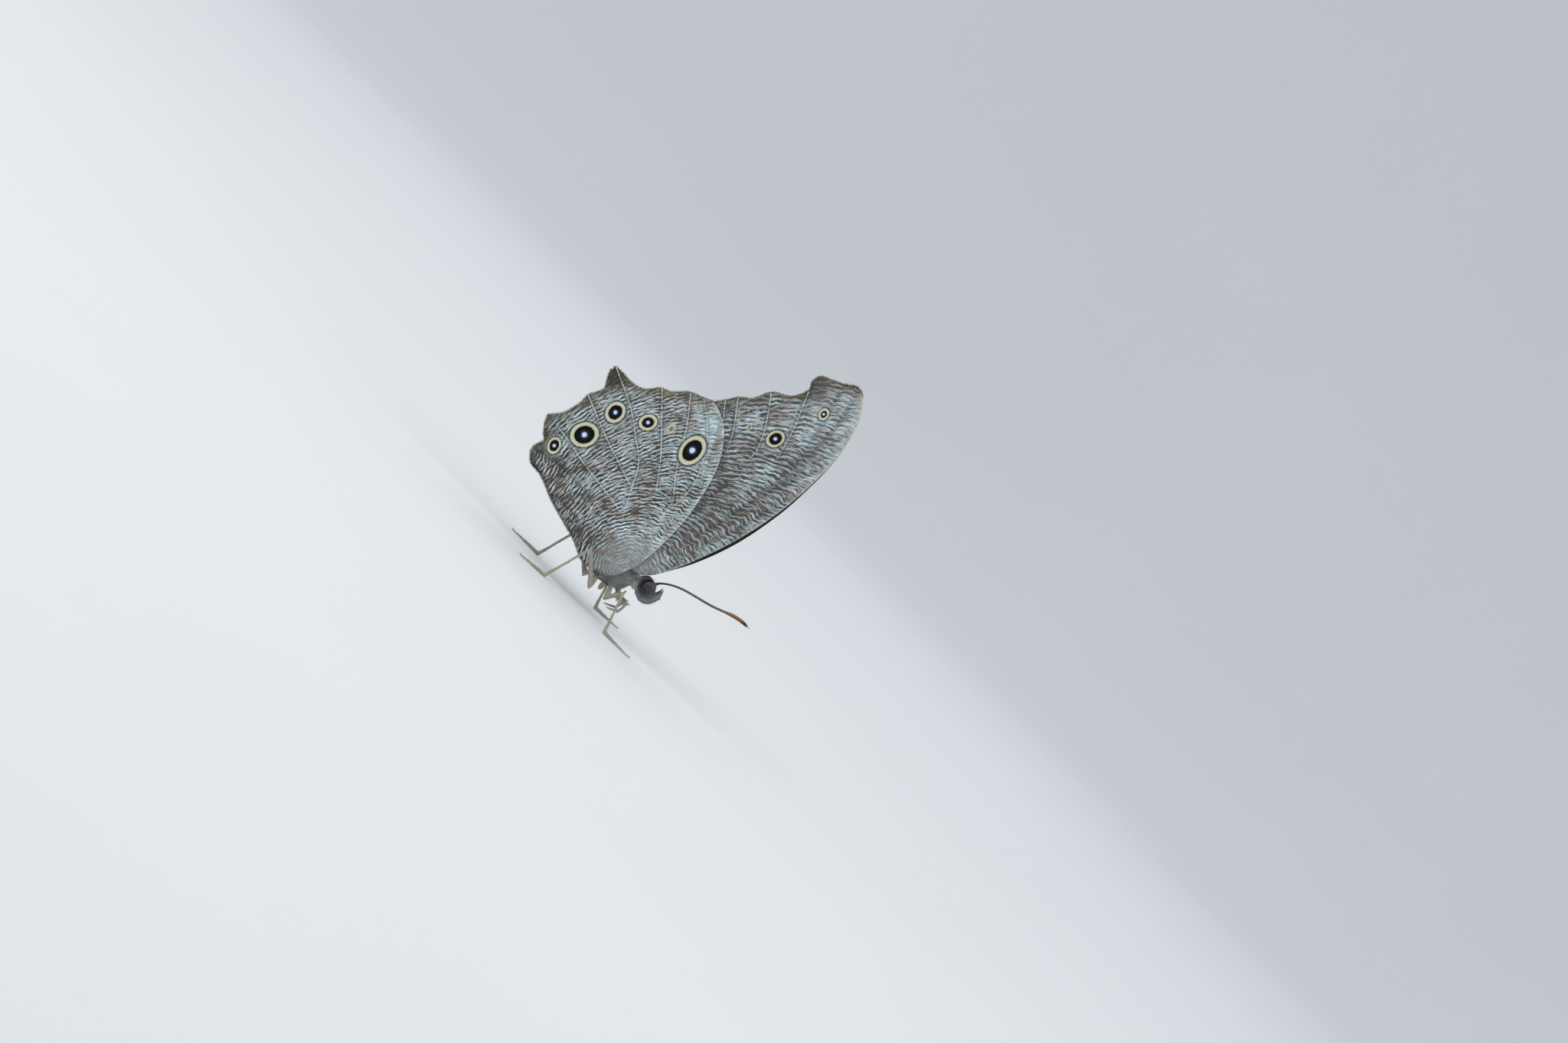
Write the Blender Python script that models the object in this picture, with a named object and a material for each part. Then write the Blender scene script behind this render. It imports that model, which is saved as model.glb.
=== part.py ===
"""Common evening brown butterfly, life size, standing with its wings closed over its back.

The head points along +X, the left side is +Y and the feet stand on z = 0. Driving dimensions are in
millimetres, measured from the middle of the thorax unless a comment says otherwise.
"""

import math

import bmesh
import bpy
from mathutils import Matrix, Vector
from mathutils.geometry import delaunay_2d_cdt

MM = 0.001

# Where the thorax is
THORAX_ABOVE_FLOOR = 6.2
THORAX_AHEAD_OF_MIDDLE = 0.89
BODY_PITCH = math.radians(15)
GAP = 0.3

# Thorax, head and abdomen
THORAX_SIZE = (6.6, 4.3, 5.0)
THORAX_BLUNTNESS = 0.86
HEAD_CENTRE = (4.5, 0.0, 1.2)
HEAD_SIZE = (2.5, 2.6, 2.4)
HEAD_BLUNTNESS = 0.9
HEAD_RINGS = 10
HEAD_STARTS_AT = math.radians(25)
NECK_LENGTH = 1.5
NECK_RADIUS = 0.85
NECK_RINGS = (0.0, 0.05, 0.5)
EYE_CENTRE = (4.62, 1.1, 1.35)
EYE_SIZE = (2.1, 1.5, 2.2)
EYE_GAP = 0.22
ABDOMEN_START = (-2.0, 0.0, -0.45)
ABDOMEN_LENGTH = 11.8
ABDOMEN_RISE = math.radians(12)
ABDOMEN_ARCH = 0.35
ABDOMEN_HALF_WIDTH = 1.55
ABDOMEN_HALF_HEIGHT = 1.6
ABDOMEN_SEGMENTS = 8
ABDOMEN_RIDGE = 0.05
# Shares of the abdomen's length where it reaches its full girth, starts to taper and rounds off
ABDOMEN_FULL_FROM = 0.24
ABDOMEN_TAPERS_FROM = 0.3
ABDOMEN_TAPER = 0.52
ABDOMEN_ROUNDS_FROM = 0.82

# Wings: thickness, the height and half width of a vein's ridge, and how far each wing stands out
# from the middle plane at its tip and at its root
WING_THICKNESS = 0.5
VEIN_HEIGHT = 0.12
VEIN_HALF_WIDTH = 0.34
FORE_OUT_AT_TIP = 0.4
FORE_OUT_AT_ROOT = 1.85
HIND_OUT_AT_TIP = 1.32
HIND_OUT_AT_ROOT = 2.75
SPREAD_STARTS_ABOVE = 1.6
SPREAD_HEIGHT = 5.5
SPREAD_STARTS_BEHIND = 8.0
SPREAD_LENGTH = 6.0
FORE_PIVOT = (1.2, 1.6)
HIND_PIVOT = (-0.6, 0.6)
# The left wings sit a little further forward than the right ones, and are swung back a little
LEFT_WINGS_AHEAD = 1.1
LEFT_FORE_SWING = math.radians(1.7)
LEFT_HIND_SWING = math.radians(2.2)

# Margins, as (x, z) in order round the wing. A corner is a point where the margin turns sharply.
CORNER = True
HIND_MARGIN = (
    (-0.2, -0.6), (-1.2, -1.3), (-2.7, -1.65), (-4.6, -1.75), (-7.1, -0.6), (-10.1, 0.3),
    (-12.8, 1.2), (-15.9, 2.6), (-18.2, 3.1), (-18.9, 4.2), (-18.4, 6.1, CORNER), (-19.6, 7.0),
    (-20.5, 8.4, CORNER), (-19.3, 9.8), (-18.9, 10.9), (-18.55, 12.6), (-18.6, 13.8, CORNER),
    (-17.75, 15.4), (-17.7, 16.4), (-18.4, 17.7), (-18.75, 18.7, CORNER), (-17.6, 18.75),
    (-15.6, 18.7), (-14.0, 19.15), (-12.5, 20.8, CORNER), (-11.1, 21.4), (-9.5, 22.9),
    (-7.9, 23.5), (-6.4, 24.1), (-4.6, 23.6), (-2.9, 22.5), (-1.1, 20.4), (0.2, 17.9),
    (1.1, 14.8), (1.8, 10.8), (1.8, 6.5), (1.3, 3.0), (0.5, 0.6),
)
FORE_MARGIN = (
    (1.0, 1.7), (-0.6, 3.2), (-1.6, 7.0), (-2.9, 12.0), (-4.9, 17.2), (-7.2, 21.4), (-7.6, 23.0),
    (-6.4, 24.0), (-5.3, 25.4), (-4.4, 26.7), (-2.9, 28.0), (-1.8, 30.1), (0.2, 31.3),
    (1.2, 32.6), (1.6, 33.8, CORNER), (1.1, 34.8), (1.4, 35.9), (2.7, 36.5), (4.2, 37.1),
    (5.9, 38.1), (7.1, 37.7), (8.2, 36.5), (9.1, 34.8), (9.9, 32.2), (10.4, 29.0),
    (10.4, 24.8), (9.9, 19.4), (8.5, 13.2), (6.3, 7.5), (4.2, 3.7), (2.9, 2.3), (1.9, 1.8),
)

# Veins, from the root outwards, as (x, z). The last point lies just past the margin.
HIND_VEINS = {
    "costal": ((-0.2, 1.4), (0.7, 4.4), (0.9, 9.5), (0.3, 14.5), (-1.5, 19.0), (-4.4, 23.9)),
    "cell_top": ((-0.4, 1.2), (-0.4, 6.0), (-1.1, 11.5)),
    "cell_end": ((-1.1, 11.5), (-3.7, 11.1), (-6.2, 9.1)),
    "cell_bottom": ((-0.7, 0.9), (-2.2, 2.6), (-4.4, 5.6), (-6.2, 9.1)),
    "rs": ((-0.7, 9.0), (-0.6, 14.3), (-2.2, 18.2), (-4.6, 21.2), (-8.1, 23.9)),
    "m1": ((-1.1, 11.5), (-3.8, 14.9), (-6.9, 19.8), (-9.7, 23.3)),
    "m2": ((-3.7, 11.1), (-6.5, 14.7), (-9.6, 17.9), (-12.8, 21.2)),
    "m3": ((-6.2, 9.1), (-7.8, 12.0), (-10.6, 14.2), (-13.9, 16.5), (-19.1, 18.95)),
    "cu1": ((-6.2, 9.1), (-10.6, 10.6), (-13.4, 11.6), (-19.1, 13.95)),
    "cu2": ((-4.6, 5.9), (-7.5, 6.4), (-13.1, 7.2), (-16.3, 7.9), (-21.1, 8.5)),
    "2a": ((-0.8, 0.6), (-3.1, 3.1), (-5.7, 4.2), (-9.1, 4.6), (-14.0, 4.9), (-19.4, 4.3)),
    "3a": ((-0.9, 0.2), (-4.2, 0.9), (-8.6, 1.7), (-12.4, 1.9)),
}
FORE_VEINS = {
    "subcostal": ((2.0, 2.5), (4.9, 7.6), (7.4, 14.0), (9.1, 20.0), (10.9, 25.4)),
    "cell_top": ((1.8, 2.3), (3.9, 8.5), (5.9, 16.0), (7.3, 25.4)),
    "cell_end": ((7.3, 25.4), (4.9, 24.2), (2.2, 23.3)),
    "cell_bottom": ((1.5, 2.2), (1.7, 7.0), (2.0, 12.6), (2.3, 17.0), (2.2, 23.3)),
    "r1": ((6.3, 18.6), (8.4, 24.4), (10.9, 29.4)),
    "r2": ((6.8, 22.0), (8.7, 28.0), (10.3, 32.4)),
    "r3": ((7.3, 25.4), (8.4, 31.0), (9.5, 35.0)),
    "r5": ((7.7, 28.2), (7.3, 33.0), (5.8, 38.7)),
    "m1": ((7.3, 25.4), (6.0, 31.0), (4.1, 37.7)),
    "m2": ((4.9, 24.2), (3.6, 28.7), (2.4, 31.4), (1.2, 34.2)),
    "m3": ((2.2, 23.3), (1.2, 25.7), (-0.1, 27.7), (-2.2, 30.5)),
    "cu1": ((2.3, 17.0), (0.6, 18.4), (-1.6, 22.8), (-4.8, 27.1)),
    "cu2": ((2.0, 12.6), (1.1, 15.7), (-1.4, 20.2), (-5.8, 25.8)),
    "2a": ((1.3, 2.4), (-0.4, 8.0), (-2.6, 14.5), (-8.0, 23.6)),
}
# Distances between a membrane's points, and the one below which two of them are one
MARGIN_STEP = 1.0
VEIN_STEP = 2.2
FIELD_STEP = 3.4
ROOT_FIELD_STEP = 1.5
SAME_POINT = 0.03

# Antennae, palps and legs, as (x, y, z) on the left side
ANTENNA = {
    "L": ((4.9, 0.42, 1.7), (6.1, 0.65, 2.95), (8.5, 1.1, 4.1), (12.95, 1.8, 5.1), (16.35, 2.2, 6.15),
          (18.7, 2.45, 6.4)),
    "R": ((4.9, 0.42, 1.7), (5.75, 0.65, 3.0), (7.9, 1.1, 4.2), (12.0, 1.8, 5.3), (15.2, 2.2, 6.4),
          (17.6, 2.5, 6.7)),
}
ANTENNA_RADIUS = 0.26
CLUB_RADIUS = 0.44
CLUB_STARTS = 0.72
ANTENNA_TIP_RADIUS = 0.16
PALP = ((3.9, 0.46, 0.2), (5.0, 0.48, -0.35), (6.0, 0.48, 0.15), (6.55, 0.5, 1.3), (6.5, 0.52, 2.45))
PALP_HALF_DEPTH = (0.42, 0.5, 0.55, 0.46, 0.16)
PALP_HALF_WIDTH = 0.31
LEGS = {
    "foreleg": ((1.9, 0.75, -0.9), (2.9, 0.8, -2.3), (4.3, 0.95, -2.0), (4.0, 1.1, -3.5), (2.6, 1.1, -4.1)),
    "midleg": ((0.9, 1.1, -1.4), (1.1, 2.9, -3.1), (1.7, 5.6, -0.9), (3.0, 7.6), (7.3, 8.7)),
    "hindleg": ((-1.3, 1.0, -1.6), (-1.5, 3.3, -3.3), (-5.4, 5.8, 0.4), (-7.5, 7.0), (-11.9, 8.2)),
}
COXA_RADIUS = 0.5
FEMUR_RADIUS = 0.42
KNEE_RADIUS = 0.3
TIBIA_RADIUS = 0.3
TARSUS_RADIUS = 0.28
TARSUS_TIP_RADIUS = 0.16
FORELEG_SCALE = 0.75
# How much thicker or thinner than straight the coxa, femur, tibia and tarsus are half way along
MIDDLE_SWELL = (1.0, 1.12, 0.92, 1.0)
# The left feet stand a little ahead of the right ones
LEFT_STEP = 0.7
LIMB_SIDES = 8
LIMB_STEP = 1.1
LONGEST_MITRE = 1.6

MATERIALS = {
    "wing_underside": ((0.42, 0.42, 0.40), 0.85, 0.0),
    "body_hair": ((0.34, 0.33, 0.32), 0.9, 0.0),
    "eye": ((0.05, 0.045, 0.05), 0.25, 0.0),
    "antenna": ((0.16, 0.09, 0.04), 0.6, 0.0),
    "leg": ((0.33, 0.28, 0.22), 0.8, 0.0),
}
RING_SIDES = 24
# After a cut: the distance below which two corners are one, and the angle below which faces are joined
SAME_CORNER = 0.006
FLAT_WITHIN = math.radians(0.1)


def clear_scene():
    for old in list(bpy.data.objects):
        bpy.data.objects.remove(old, do_unlink=True)


def material(name):
    """A Principled material with the part's colour, roughness and metallic value."""
    if name in bpy.data.materials:
        return bpy.data.materials[name]
    colour, roughness, metallic = MATERIALS[name]
    made = bpy.data.materials.new(name)
    made.use_nodes = True
    shader = made.node_tree.nodes["Principled BSDF"]
    shader.inputs["Base Color"].default_value = (*colour, 1.0)
    shader.inputs["Roughness"].default_value = roughness
    shader.inputs["Metallic"].default_value = metallic
    made.diffuse_color = (*colour, 1.0)
    return made


def add_object(name, points, faces, finish, parent, origin=(0.0, 0.0, 0.0)):
    """One node from points in millimetres. Its own origin sits at the given point."""
    start = Vector(origin)
    mesh = bpy.data.meshes.new(name)
    mesh.from_pydata([(Vector(p) - start) * MM for p in points], [], faces)
    mesh.materials.append(material(finish))
    made = bpy.data.objects.new(name, mesh)
    bpy.context.collection.objects.link(made)
    made.parent = parent
    made.location = start * MM
    tidy = bmesh.new()
    tidy.from_mesh(mesh)
    bmesh.ops.triangulate(tidy, faces=tidy.faces)
    bmesh.ops.recalc_face_normals(tidy, faces=tidy.faces)
    tidy.to_mesh(mesh)
    tidy.free()
    mesh.shade_smooth()
    mesh.set_sharp_from_angle(angle=math.radians(40))
    return made


def catmull(points, step, closed=False, corners=()):
    """A smooth line through the points, with a point about every step. It breaks at the corners."""
    count = len(points)
    out = []
    spans = count if closed else count - 1
    for i in range(spans):
        p1, p2 = Vector(points[i]), Vector(points[(i + 1) % count])
        before = Vector(points[i - 1]) if closed or i > 0 else 2 * p1 - p2
        after = Vector(points[(i + 2) % count]) if closed or i + 2 < count else 2 * p2 - p1
        if i in corners:
            before = 2 * p1 - p2
        if (i + 1) % count in corners:
            after = 2 * p2 - p1
        steps = max(1, round((p2 - p1).length / step))
        for k in range(steps):
            t = k / steps
            out.append(0.5 * (2 * p1 + (p2 - before) * t + (2 * before - 5 * p1 + 4 * p2 - after) * t**2
                              + (3 * p1 - before - 3 * p2 + after) * t**3))
    if not closed:
        out.append(Vector(points[-1]))
    return out


def rings_to_faces(rings, sides):
    """Side faces between rings of points, where the first and the last ring are single poles."""
    faces = []
    first = 1
    last_ring = 1 + (rings - 1) * sides
    for k in range(sides):
        faces.append((0, first + k, first + (k + 1) % sides))
        faces.append((last_ring + sides, last_ring + (k + 1) % sides, last_ring + k))
    for r in range(rings - 1):
        a = first + r * sides
        b = a + sides
        for k in range(sides):
            n = (k + 1) % sides
            faces.append((a + k, b + k, b + n, a + n))
    return faces


def turned(axis_points, half_widths, half_heights, sides=RING_SIDES):
    """A closed body along a line in the XZ plane, with an oval section at each point between poles."""
    axis = [Vector(p) for p in axis_points]
    points = [tuple(axis[0])]
    for i in range(1, len(axis) - 1):
        along = (axis[i + 1] - axis[i - 1]).normalized()
        up = Vector((-along.z, 0.0, along.x))
        for k in range(sides):
            turn = 2 * math.pi * k / sides
            side_way = Vector((0.0, math.cos(turn) * half_widths[i], 0.0))
            points.append(tuple(axis[i] + side_way + up * math.sin(turn) * half_heights[i]))
    points.append(tuple(axis[-1]))
    return points, rings_to_faces(len(axis) - 2, sides)


def egg(centre, size, pitch, bluntness=1.0, grow=0.0, rings=13, sides=RING_SIDES):
    """An egg along a pitched axis. A bluntness below 1 fills its ends out."""
    half_length = size[0] / 2 + grow
    way = Vector((math.cos(pitch), 0.0, math.sin(pitch)))
    axis, widths, heights = [], [], []
    for i in range(rings + 2):
        turn = math.pi * i / (rings + 1)
        axis.append(Vector(centre) + way * half_length * math.cos(turn))
        swell = max(0.0, math.sin(turn)) ** bluntness
        widths.append((size[1] / 2 + grow) * swell)
        heights.append((size[2] / 2 + grow) * swell)
    axis.reverse()
    return turned(axis, widths, heights, sides)


def cut_away(target, cutters, same_plane=FLAT_WITHIN):
    """Cuts closed shapes out of a node and keeps its largest closed surface."""
    for index, (points, faces) in enumerate(cutters):
        cutter = add_object(f"{target.name}_cutter_{index}", points, faces, "body_hair", target.parent)
        cutter.hide_render = True
        cutter.display_type = "WIRE"
        cut = target.modifiers.new("cut", "BOOLEAN")
        cut.operation = "DIFFERENCE"
        cut.object = cutter
        apply_modifiers(target)
        bpy.data.objects.remove(cutter, do_unlink=True)
    keep_largest(target, same_plane)


def apply_modifiers(target):
    """Bakes a node's modifiers into its mesh."""
    view = bpy.context.evaluated_depsgraph_get()
    view.update()
    shaped = bpy.data.meshes.new_from_object(target.evaluated_get(view))
    old = target.data
    target.modifiers.clear()
    target.data = shaped
    shaped.name = target.name
    bpy.data.meshes.remove(old)


def keep_largest(target, same_plane):
    """Drops every loose scrap but the largest closed surface, and joins the slivers that a cut leaves."""
    work = bmesh.new()
    work.from_mesh(target.data)
    bmesh.ops.remove_doubles(work, verts=work.verts, dist=SAME_CORNER * MM)
    if same_plane:
        bmesh.ops.dissolve_limit(work, angle_limit=same_plane, verts=work.verts, edges=work.edges)
    bmesh.ops.triangulate(work, faces=work.faces)
    left, groups = set(work.verts), []
    while left:
        front = [left.pop()]
        group = set(front)
        while front:
            for edge in front.pop().link_edges:
                for vert in edge.verts:
                    if vert in left:
                        left.remove(vert)
                        group.add(vert)
                        front.append(vert)
        groups.append(group)
    groups.sort(key=len)
    scraps = [vert for group in groups[:-1] for vert in group]
    bmesh.ops.delete(work, geom=scraps, context="VERTS")
    work.to_mesh(target.data)
    work.free()


def tube(route, half_widths, half_depths, sides=LIMB_SIDES):
    """A closed limb along a route. Its rings lie level from side to side, so that a foot has a flat sole."""
    points = [tuple(route[0])]
    side_way = None
    for i, place in enumerate(route):
        came = (place - route[max(0, i - 1)]).normalized() if i else (route[1] - place).normalized()
        goes = (route[min(i + 1, len(route) - 1)] - place).normalized() if i < len(route) - 1 else came
        along = (came + goes).normalized()
        stretch = min(LONGEST_MITRE, 1 / max(0.5, along.dot(came)))
        level = along.cross(Vector((0.0, 0.0, 1.0))).normalized()
        side_way = -level if side_way and level.dot(side_way) < 0 else level
        up = side_way.cross(along).normalized()
        for k in range(sides):
            turn = 2 * math.pi * (k + 0.5) / sides
            across = side_way * math.cos(turn) * half_widths[i]
            points.append(tuple(place + across + up * math.sin(turn) * half_depths[i] * stretch))
    points.append(tuple(route[-1]))
    return points, rings_to_faces(len(route), sides)


def mirror_point(point, side):
    return Vector((point[0], point[1] * side, point[2]))


def out_from_middle(x, z, at_tip, at_root):
    """How far a wing's middle surface stands out at a place: wide over the body, close at the tips."""
    rise = max(0.0, (z - SPREAD_STARTS_ABOVE) / SPREAD_HEIGHT)
    back = max(0.0, (-x - SPREAD_STARTS_BEHIND) / SPREAD_LENGTH)
    return at_tip + (at_root - at_tip) * math.exp(-((rise + back) ** 2))


def distance_to_line(point, line):
    nearest = 1e9
    for a, b in zip(line, line[1:]):
        step = b - a
        t = max(0.0, min(1.0, (point - a).dot(step) / step.length_squared))
        nearest = min(nearest, (point - a - step * t).length)
    return nearest


def inside(point, loop):
    crossings = False
    for a, b in zip(loop, loop[1:] + loop[:1]):
        if (a.y > point.y) != (b.y > point.y):
            if point.x < a.x + (point.y - a.y) * (b.x - a.x) / (b.y - a.y):
                crossings = not crossings
    return crossings


def side_line(line, offset):
    """A line beside another one, to its left for a positive offset."""
    out = []
    for i, point in enumerate(line):
        way = (line[min(i + 1, len(line) - 1)] - line[max(0, i - 1)]).normalized()
        out.append(point + Vector((-way.y, way.x)) * offset)
    return out


def field_points(loop, lines):
    """Points spread over a membrane, closer near the root and clear of its margin and its veins."""
    low_x, high_x = min(p.x for p in loop), max(p.x for p in loop)
    low_z, high_z = min(p.y for p in loop), max(p.y for p in loop)
    found = []
    z, row = low_z, 0
    while z < high_z:
        step = ROOT_FIELD_STEP if z < SPREAD_STARTS_ABOVE + SPREAD_HEIGHT * 1.4 else FIELD_STEP
        x = low_x + (row % 2) * step / 2
        while x < high_x:
            place = Vector((x, z))
            margin = distance_to_line(place, loop + loop[:1])
            if inside(place, loop) and margin > step * 0.45:
                if all(distance_to_line(place, line) > VEIN_HALF_WIDTH + step * 0.35 for line in lines):
                    found.append(place)
            x += step
        z += step * 0.87
        row += 1
    return found


def membrane(margin, veins):
    """Triangles of a wing in its own plane, with each vein's ridge line and feet as edges."""
    corners = {i for i, point in enumerate(margin) if len(point) == 3}
    loop = catmull([point[:2] for point in margin], MARGIN_STEP, closed=True, corners=corners)
    lines = [catmull(points, VEIN_STEP) for points in veins.values()]
    flat = list(loop)
    edges = []
    for line in lines:
        for track in (line, side_line(line, VEIN_HALF_WIDTH), side_line(line, -VEIN_HALF_WIDTH)):
            start = len(flat)
            flat.extend(track)
            edges.extend((start + i, start + i + 1) for i in range(len(track) - 1))
    flat.extend(field_points(loop, lines))
    outline = list(range(len(loop)))
    places, _, faces, _, _, _ = delaunay_2d_cdt(flat, edges, [outline], 1, SAME_POINT)
    faces = [face for face in faces if inside(sum((places[v] for v in face), Vector((0, 0))) / 3, loop)]
    used = sorted({v for face in faces for v in face})
    renumber = {v: i for i, v in enumerate(used)}
    places = [places[v] for v in used]
    faces = [tuple(renumber[v] for v in face) for face in faces]
    heights = []
    for place in places:
        near = min(distance_to_line(place, line) for line in lines)
        ridge = max(0.0, 1 - near / VEIN_HALF_WIDTH)
        heights.append(VEIN_HEIGHT * ridge)
    return places, faces, heights


def wing(name, side, margin, veins, pivot, swing, at_tip, at_root, parent):
    """One wing: both faces share one set of triangles, and the veins stand up on its outer face."""
    places, faces, heights = membrane(margin, veins)
    start = Vector(pivot)
    hinge = start + Vector((LEFT_WINGS_AHEAD if side > 0 else 0.0, 0.0))
    turn = Matrix.Rotation(swing, 2)
    points, inner = [], []
    for place, height in zip(places, heights):
        x, z = turn @ (place - start) + hinge
        middle = out_from_middle(x, z, at_tip, at_root)
        points.append((x, side * (middle + WING_THICKNESS / 2 + height), z))
        inner.append((x, side * (middle - WING_THICKNESS / 2), z))
    count = len(points)
    rim = {}
    for face in faces:
        for a, b in zip(face, face[1:] + face[:1]):
            rim[(a, b)] = (b, a) not in rim
            if (b, a) in rim:
                rim[(b, a)] = False
    sides = []
    for (a, b), open_edge in rim.items():
        if open_edge:
            sides.append((b, a, a + count))
            sides.append((b, a + count, b + count))
    inner_faces = [tuple(v + count for v in reversed(face)) for face in faces]
    origin = (hinge.x, side * at_root, hinge.y)
    plate = add_object(name, points + inner, faces + inner_faces + sides, "wing_underside", parent, origin)
    cut_away(plate, [thorax_shape(GAP)], same_plane=None)


def thorax_shape(grow=0.0):
    return egg((0.0, 0.0, 0.0), THORAX_SIZE, BODY_PITCH, THORAX_BLUNTNESS, grow)


def eye_shape(side, grow=0.0):
    return egg(mirror_point(EYE_CENTRE, side), EYE_SIZE, BODY_PITCH, grow=grow, rings=9, sides=20)


def head_shape(grow=0.0):
    """The head's egg, drawn out behind into a neck."""
    way = Vector((math.cos(BODY_PITCH), 0.0, math.sin(BODY_PITCH)))
    centre = Vector(HEAD_CENTRE)
    neck = NECK_RADIUS + grow
    neck_end = HEAD_SIZE[0] / 2 + NECK_LENGTH
    axis = [centre - way * (neck_end - share * NECK_LENGTH) for share in NECK_RINGS]
    widths = [0.0] + [neck] * (len(NECK_RINGS) - 1)
    heights = list(widths)
    for i in range(1, HEAD_RINGS + 1):
        turn = HEAD_STARTS_AT + (math.pi - HEAD_STARTS_AT) * i / HEAD_RINGS
        swell = max(0.0, math.sin(turn)) ** HEAD_BLUNTNESS
        axis.append(centre - way * (HEAD_SIZE[0] / 2 + grow) * math.cos(turn))
        widths.append((HEAD_SIZE[1] / 2 + grow) * swell)
        heights.append((HEAD_SIZE[2] / 2 + grow) * swell)
    widths[-1] = heights[-1] = 0.0
    return turned(axis, widths, heights)


def abdomen_shape():
    """Segments that swell a little, on an arched axis that rises between the hindwings."""
    rings = ABDOMEN_SEGMENTS * 3
    axis, widths, heights = [], [], []
    start = Vector(ABDOMEN_START)
    way = Vector((-math.cos(ABDOMEN_RISE), 0.0, math.sin(ABDOMEN_RISE)))
    up = Vector((0.0, 0.0, 1.0))
    for i in range(rings + 2):
        share = i / (rings + 1)
        arch = up * ABDOMEN_ARCH * math.sin(math.pi * share)
        axis.append(start + way * ABDOMEN_LENGTH * share + arch)
        front = math.sqrt(1 - (1 - min(1.0, share / ABDOMEN_FULL_FROM)) ** 2)
        taper = 1 - ABDOMEN_TAPER * max(0.0, share - ABDOMEN_TAPERS_FROM) ** 1.4
        tip_share = max(0.0, (share - ABDOMEN_ROUNDS_FROM) / (1 - ABDOMEN_ROUNDS_FROM))
        tip = math.sqrt(max(0.0, 1 - tip_share**2))
        swell = 1 + ABDOMEN_RIDGE * (math.sin(math.pi * share * ABDOMEN_SEGMENTS) ** 2 - 0.5)
        shape = front * taper * tip * swell
        widths.append(ABDOMEN_HALF_WIDTH * shape)
        heights.append(ABDOMEN_HALF_HEIGHT * shape)
    axis.reverse()
    widths.reverse()
    heights.reverse()
    return turned(axis, widths, heights)


def add_body(parent):
    """Head, eyes, thorax and abdomen, each cut clear of the one that it grows from."""
    add_object("thorax", *thorax_shape(), "body_hair", parent)
    head = add_object("head", *head_shape(), "body_hair", parent)
    cut_away(head, [thorax_shape(GAP), eye_shape(1, EYE_GAP), eye_shape(-1, EYE_GAP)])
    abdomen = add_object("abdomen", *abdomen_shape(), "body_hair", parent)
    cut_away(abdomen, [thorax_shape(GAP)])
    for label, side in (("L", 1), ("R", -1)):
        add_object(f"eye_{label}", *eye_shape(side), "eye", parent, mirror_point(EYE_CENTRE, side))


def add_antenna(label, side, parent):
    """A thin shaft that swells into a slender club."""
    line = catmull([mirror_point(p, side) for p in ANTENNA[label]], 1.0)
    widths = []
    for i in range(len(line)):
        share = i / (len(line) - 1)
        club = max(0.0, (share - CLUB_STARTS) / (1 - CLUB_STARTS))
        swell = math.sin(math.pi * club**0.8)
        widths.append(ANTENNA_RADIUS + (CLUB_RADIUS - ANTENNA_RADIUS) * max(0.0, swell))
    widths[-1] = ANTENNA_TIP_RADIUS
    antenna = add_object(f"antenna_{label}", *tube(line, widths, widths), "antenna", parent)
    cut_away(antenna, [head_shape(GAP), eye_shape(side, GAP)])


def add_palp(label, side, parent):
    """A deep, narrow palp that curves up in front of the face."""
    line = catmull([mirror_point(p, side) for p in PALP], 0.6)
    depths, widths = [], []
    for i in range(len(line)):
        place = i / (len(line) - 1) * (len(PALP_HALF_DEPTH) - 1)
        k = min(int(place), len(PALP_HALF_DEPTH) - 2)
        depth = PALP_HALF_DEPTH[k] + (PALP_HALF_DEPTH[k + 1] - PALP_HALF_DEPTH[k]) * (place - k)
        depths.append(depth)
        widths.append(min(PALP_HALF_WIDTH, depth))
    palp = add_object(f"palp_{label}", *tube(line, widths, depths, 10), "body_hair", parent)
    cut_away(palp, [head_shape(GAP), eye_shape(side, GAP), thorax_shape(GAP)])


def sole_height(radius):
    """How high a tarsus's axis runs above the floor, measured from the thorax."""
    return radius * math.cos(math.pi / LIMB_SIDES) - THORAX_ABOVE_FLOOR


def leg_route(kind, side):
    """The joints of a leg with their radii. A walking leg ends in a tarsus that lies on the floor."""
    points = LEGS[kind]
    if kind == "foreleg":
        radii = [r * FORELEG_SCALE for r in (COXA_RADIUS, FEMUR_RADIUS, KNEE_RADIUS, TIBIA_RADIUS)]
        return [mirror_point(p, side) for p in points], radii + [TARSUS_TIP_RADIUS]
    step = Vector((LEFT_STEP if side > 0 else 0.0, 0.0, 0.0))
    heel_x, heel_y = points[3]
    toe_x, toe_y = points[4]
    heel = Vector((heel_x, side * heel_y, sole_height(TARSUS_RADIUS))) + step
    toe = Vector((toe_x, side * toe_y, sole_height(TARSUS_TIP_RADIUS))) + step
    upper = [mirror_point(p, side) for p in points[:3]]
    return upper + [heel, toe], [COXA_RADIUS, FEMUR_RADIUS, KNEE_RADIUS, TARSUS_RADIUS, TARSUS_TIP_RADIUS]


def add_leg(kind, label, side, parent):
    """Coxa, femur, tibia and tarsus as one bent limb, a little thicker at mid femur."""
    joints, radii = leg_route(kind, side)
    route, widths = [], []
    for i, swell in enumerate(MIDDLE_SWELL):
        rings = max(2, round((joints[i + 1] - joints[i]).length / LIMB_STEP))
        for k in range(rings):
            share = k / rings
            route.append(joints[i].lerp(joints[i + 1], share))
            radius = radii[i] + (radii[i + 1] - radii[i]) * share
            widths.append(radius * (1 + (swell - 1) * math.sin(math.pi * share)))
    route.append(joints[-1])
    widths.append(radii[-1])
    leg = add_object(f"{kind}_{label}", *tube(route, widths, widths), "leg", parent)
    cut_away(leg, [thorax_shape(GAP)])


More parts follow.
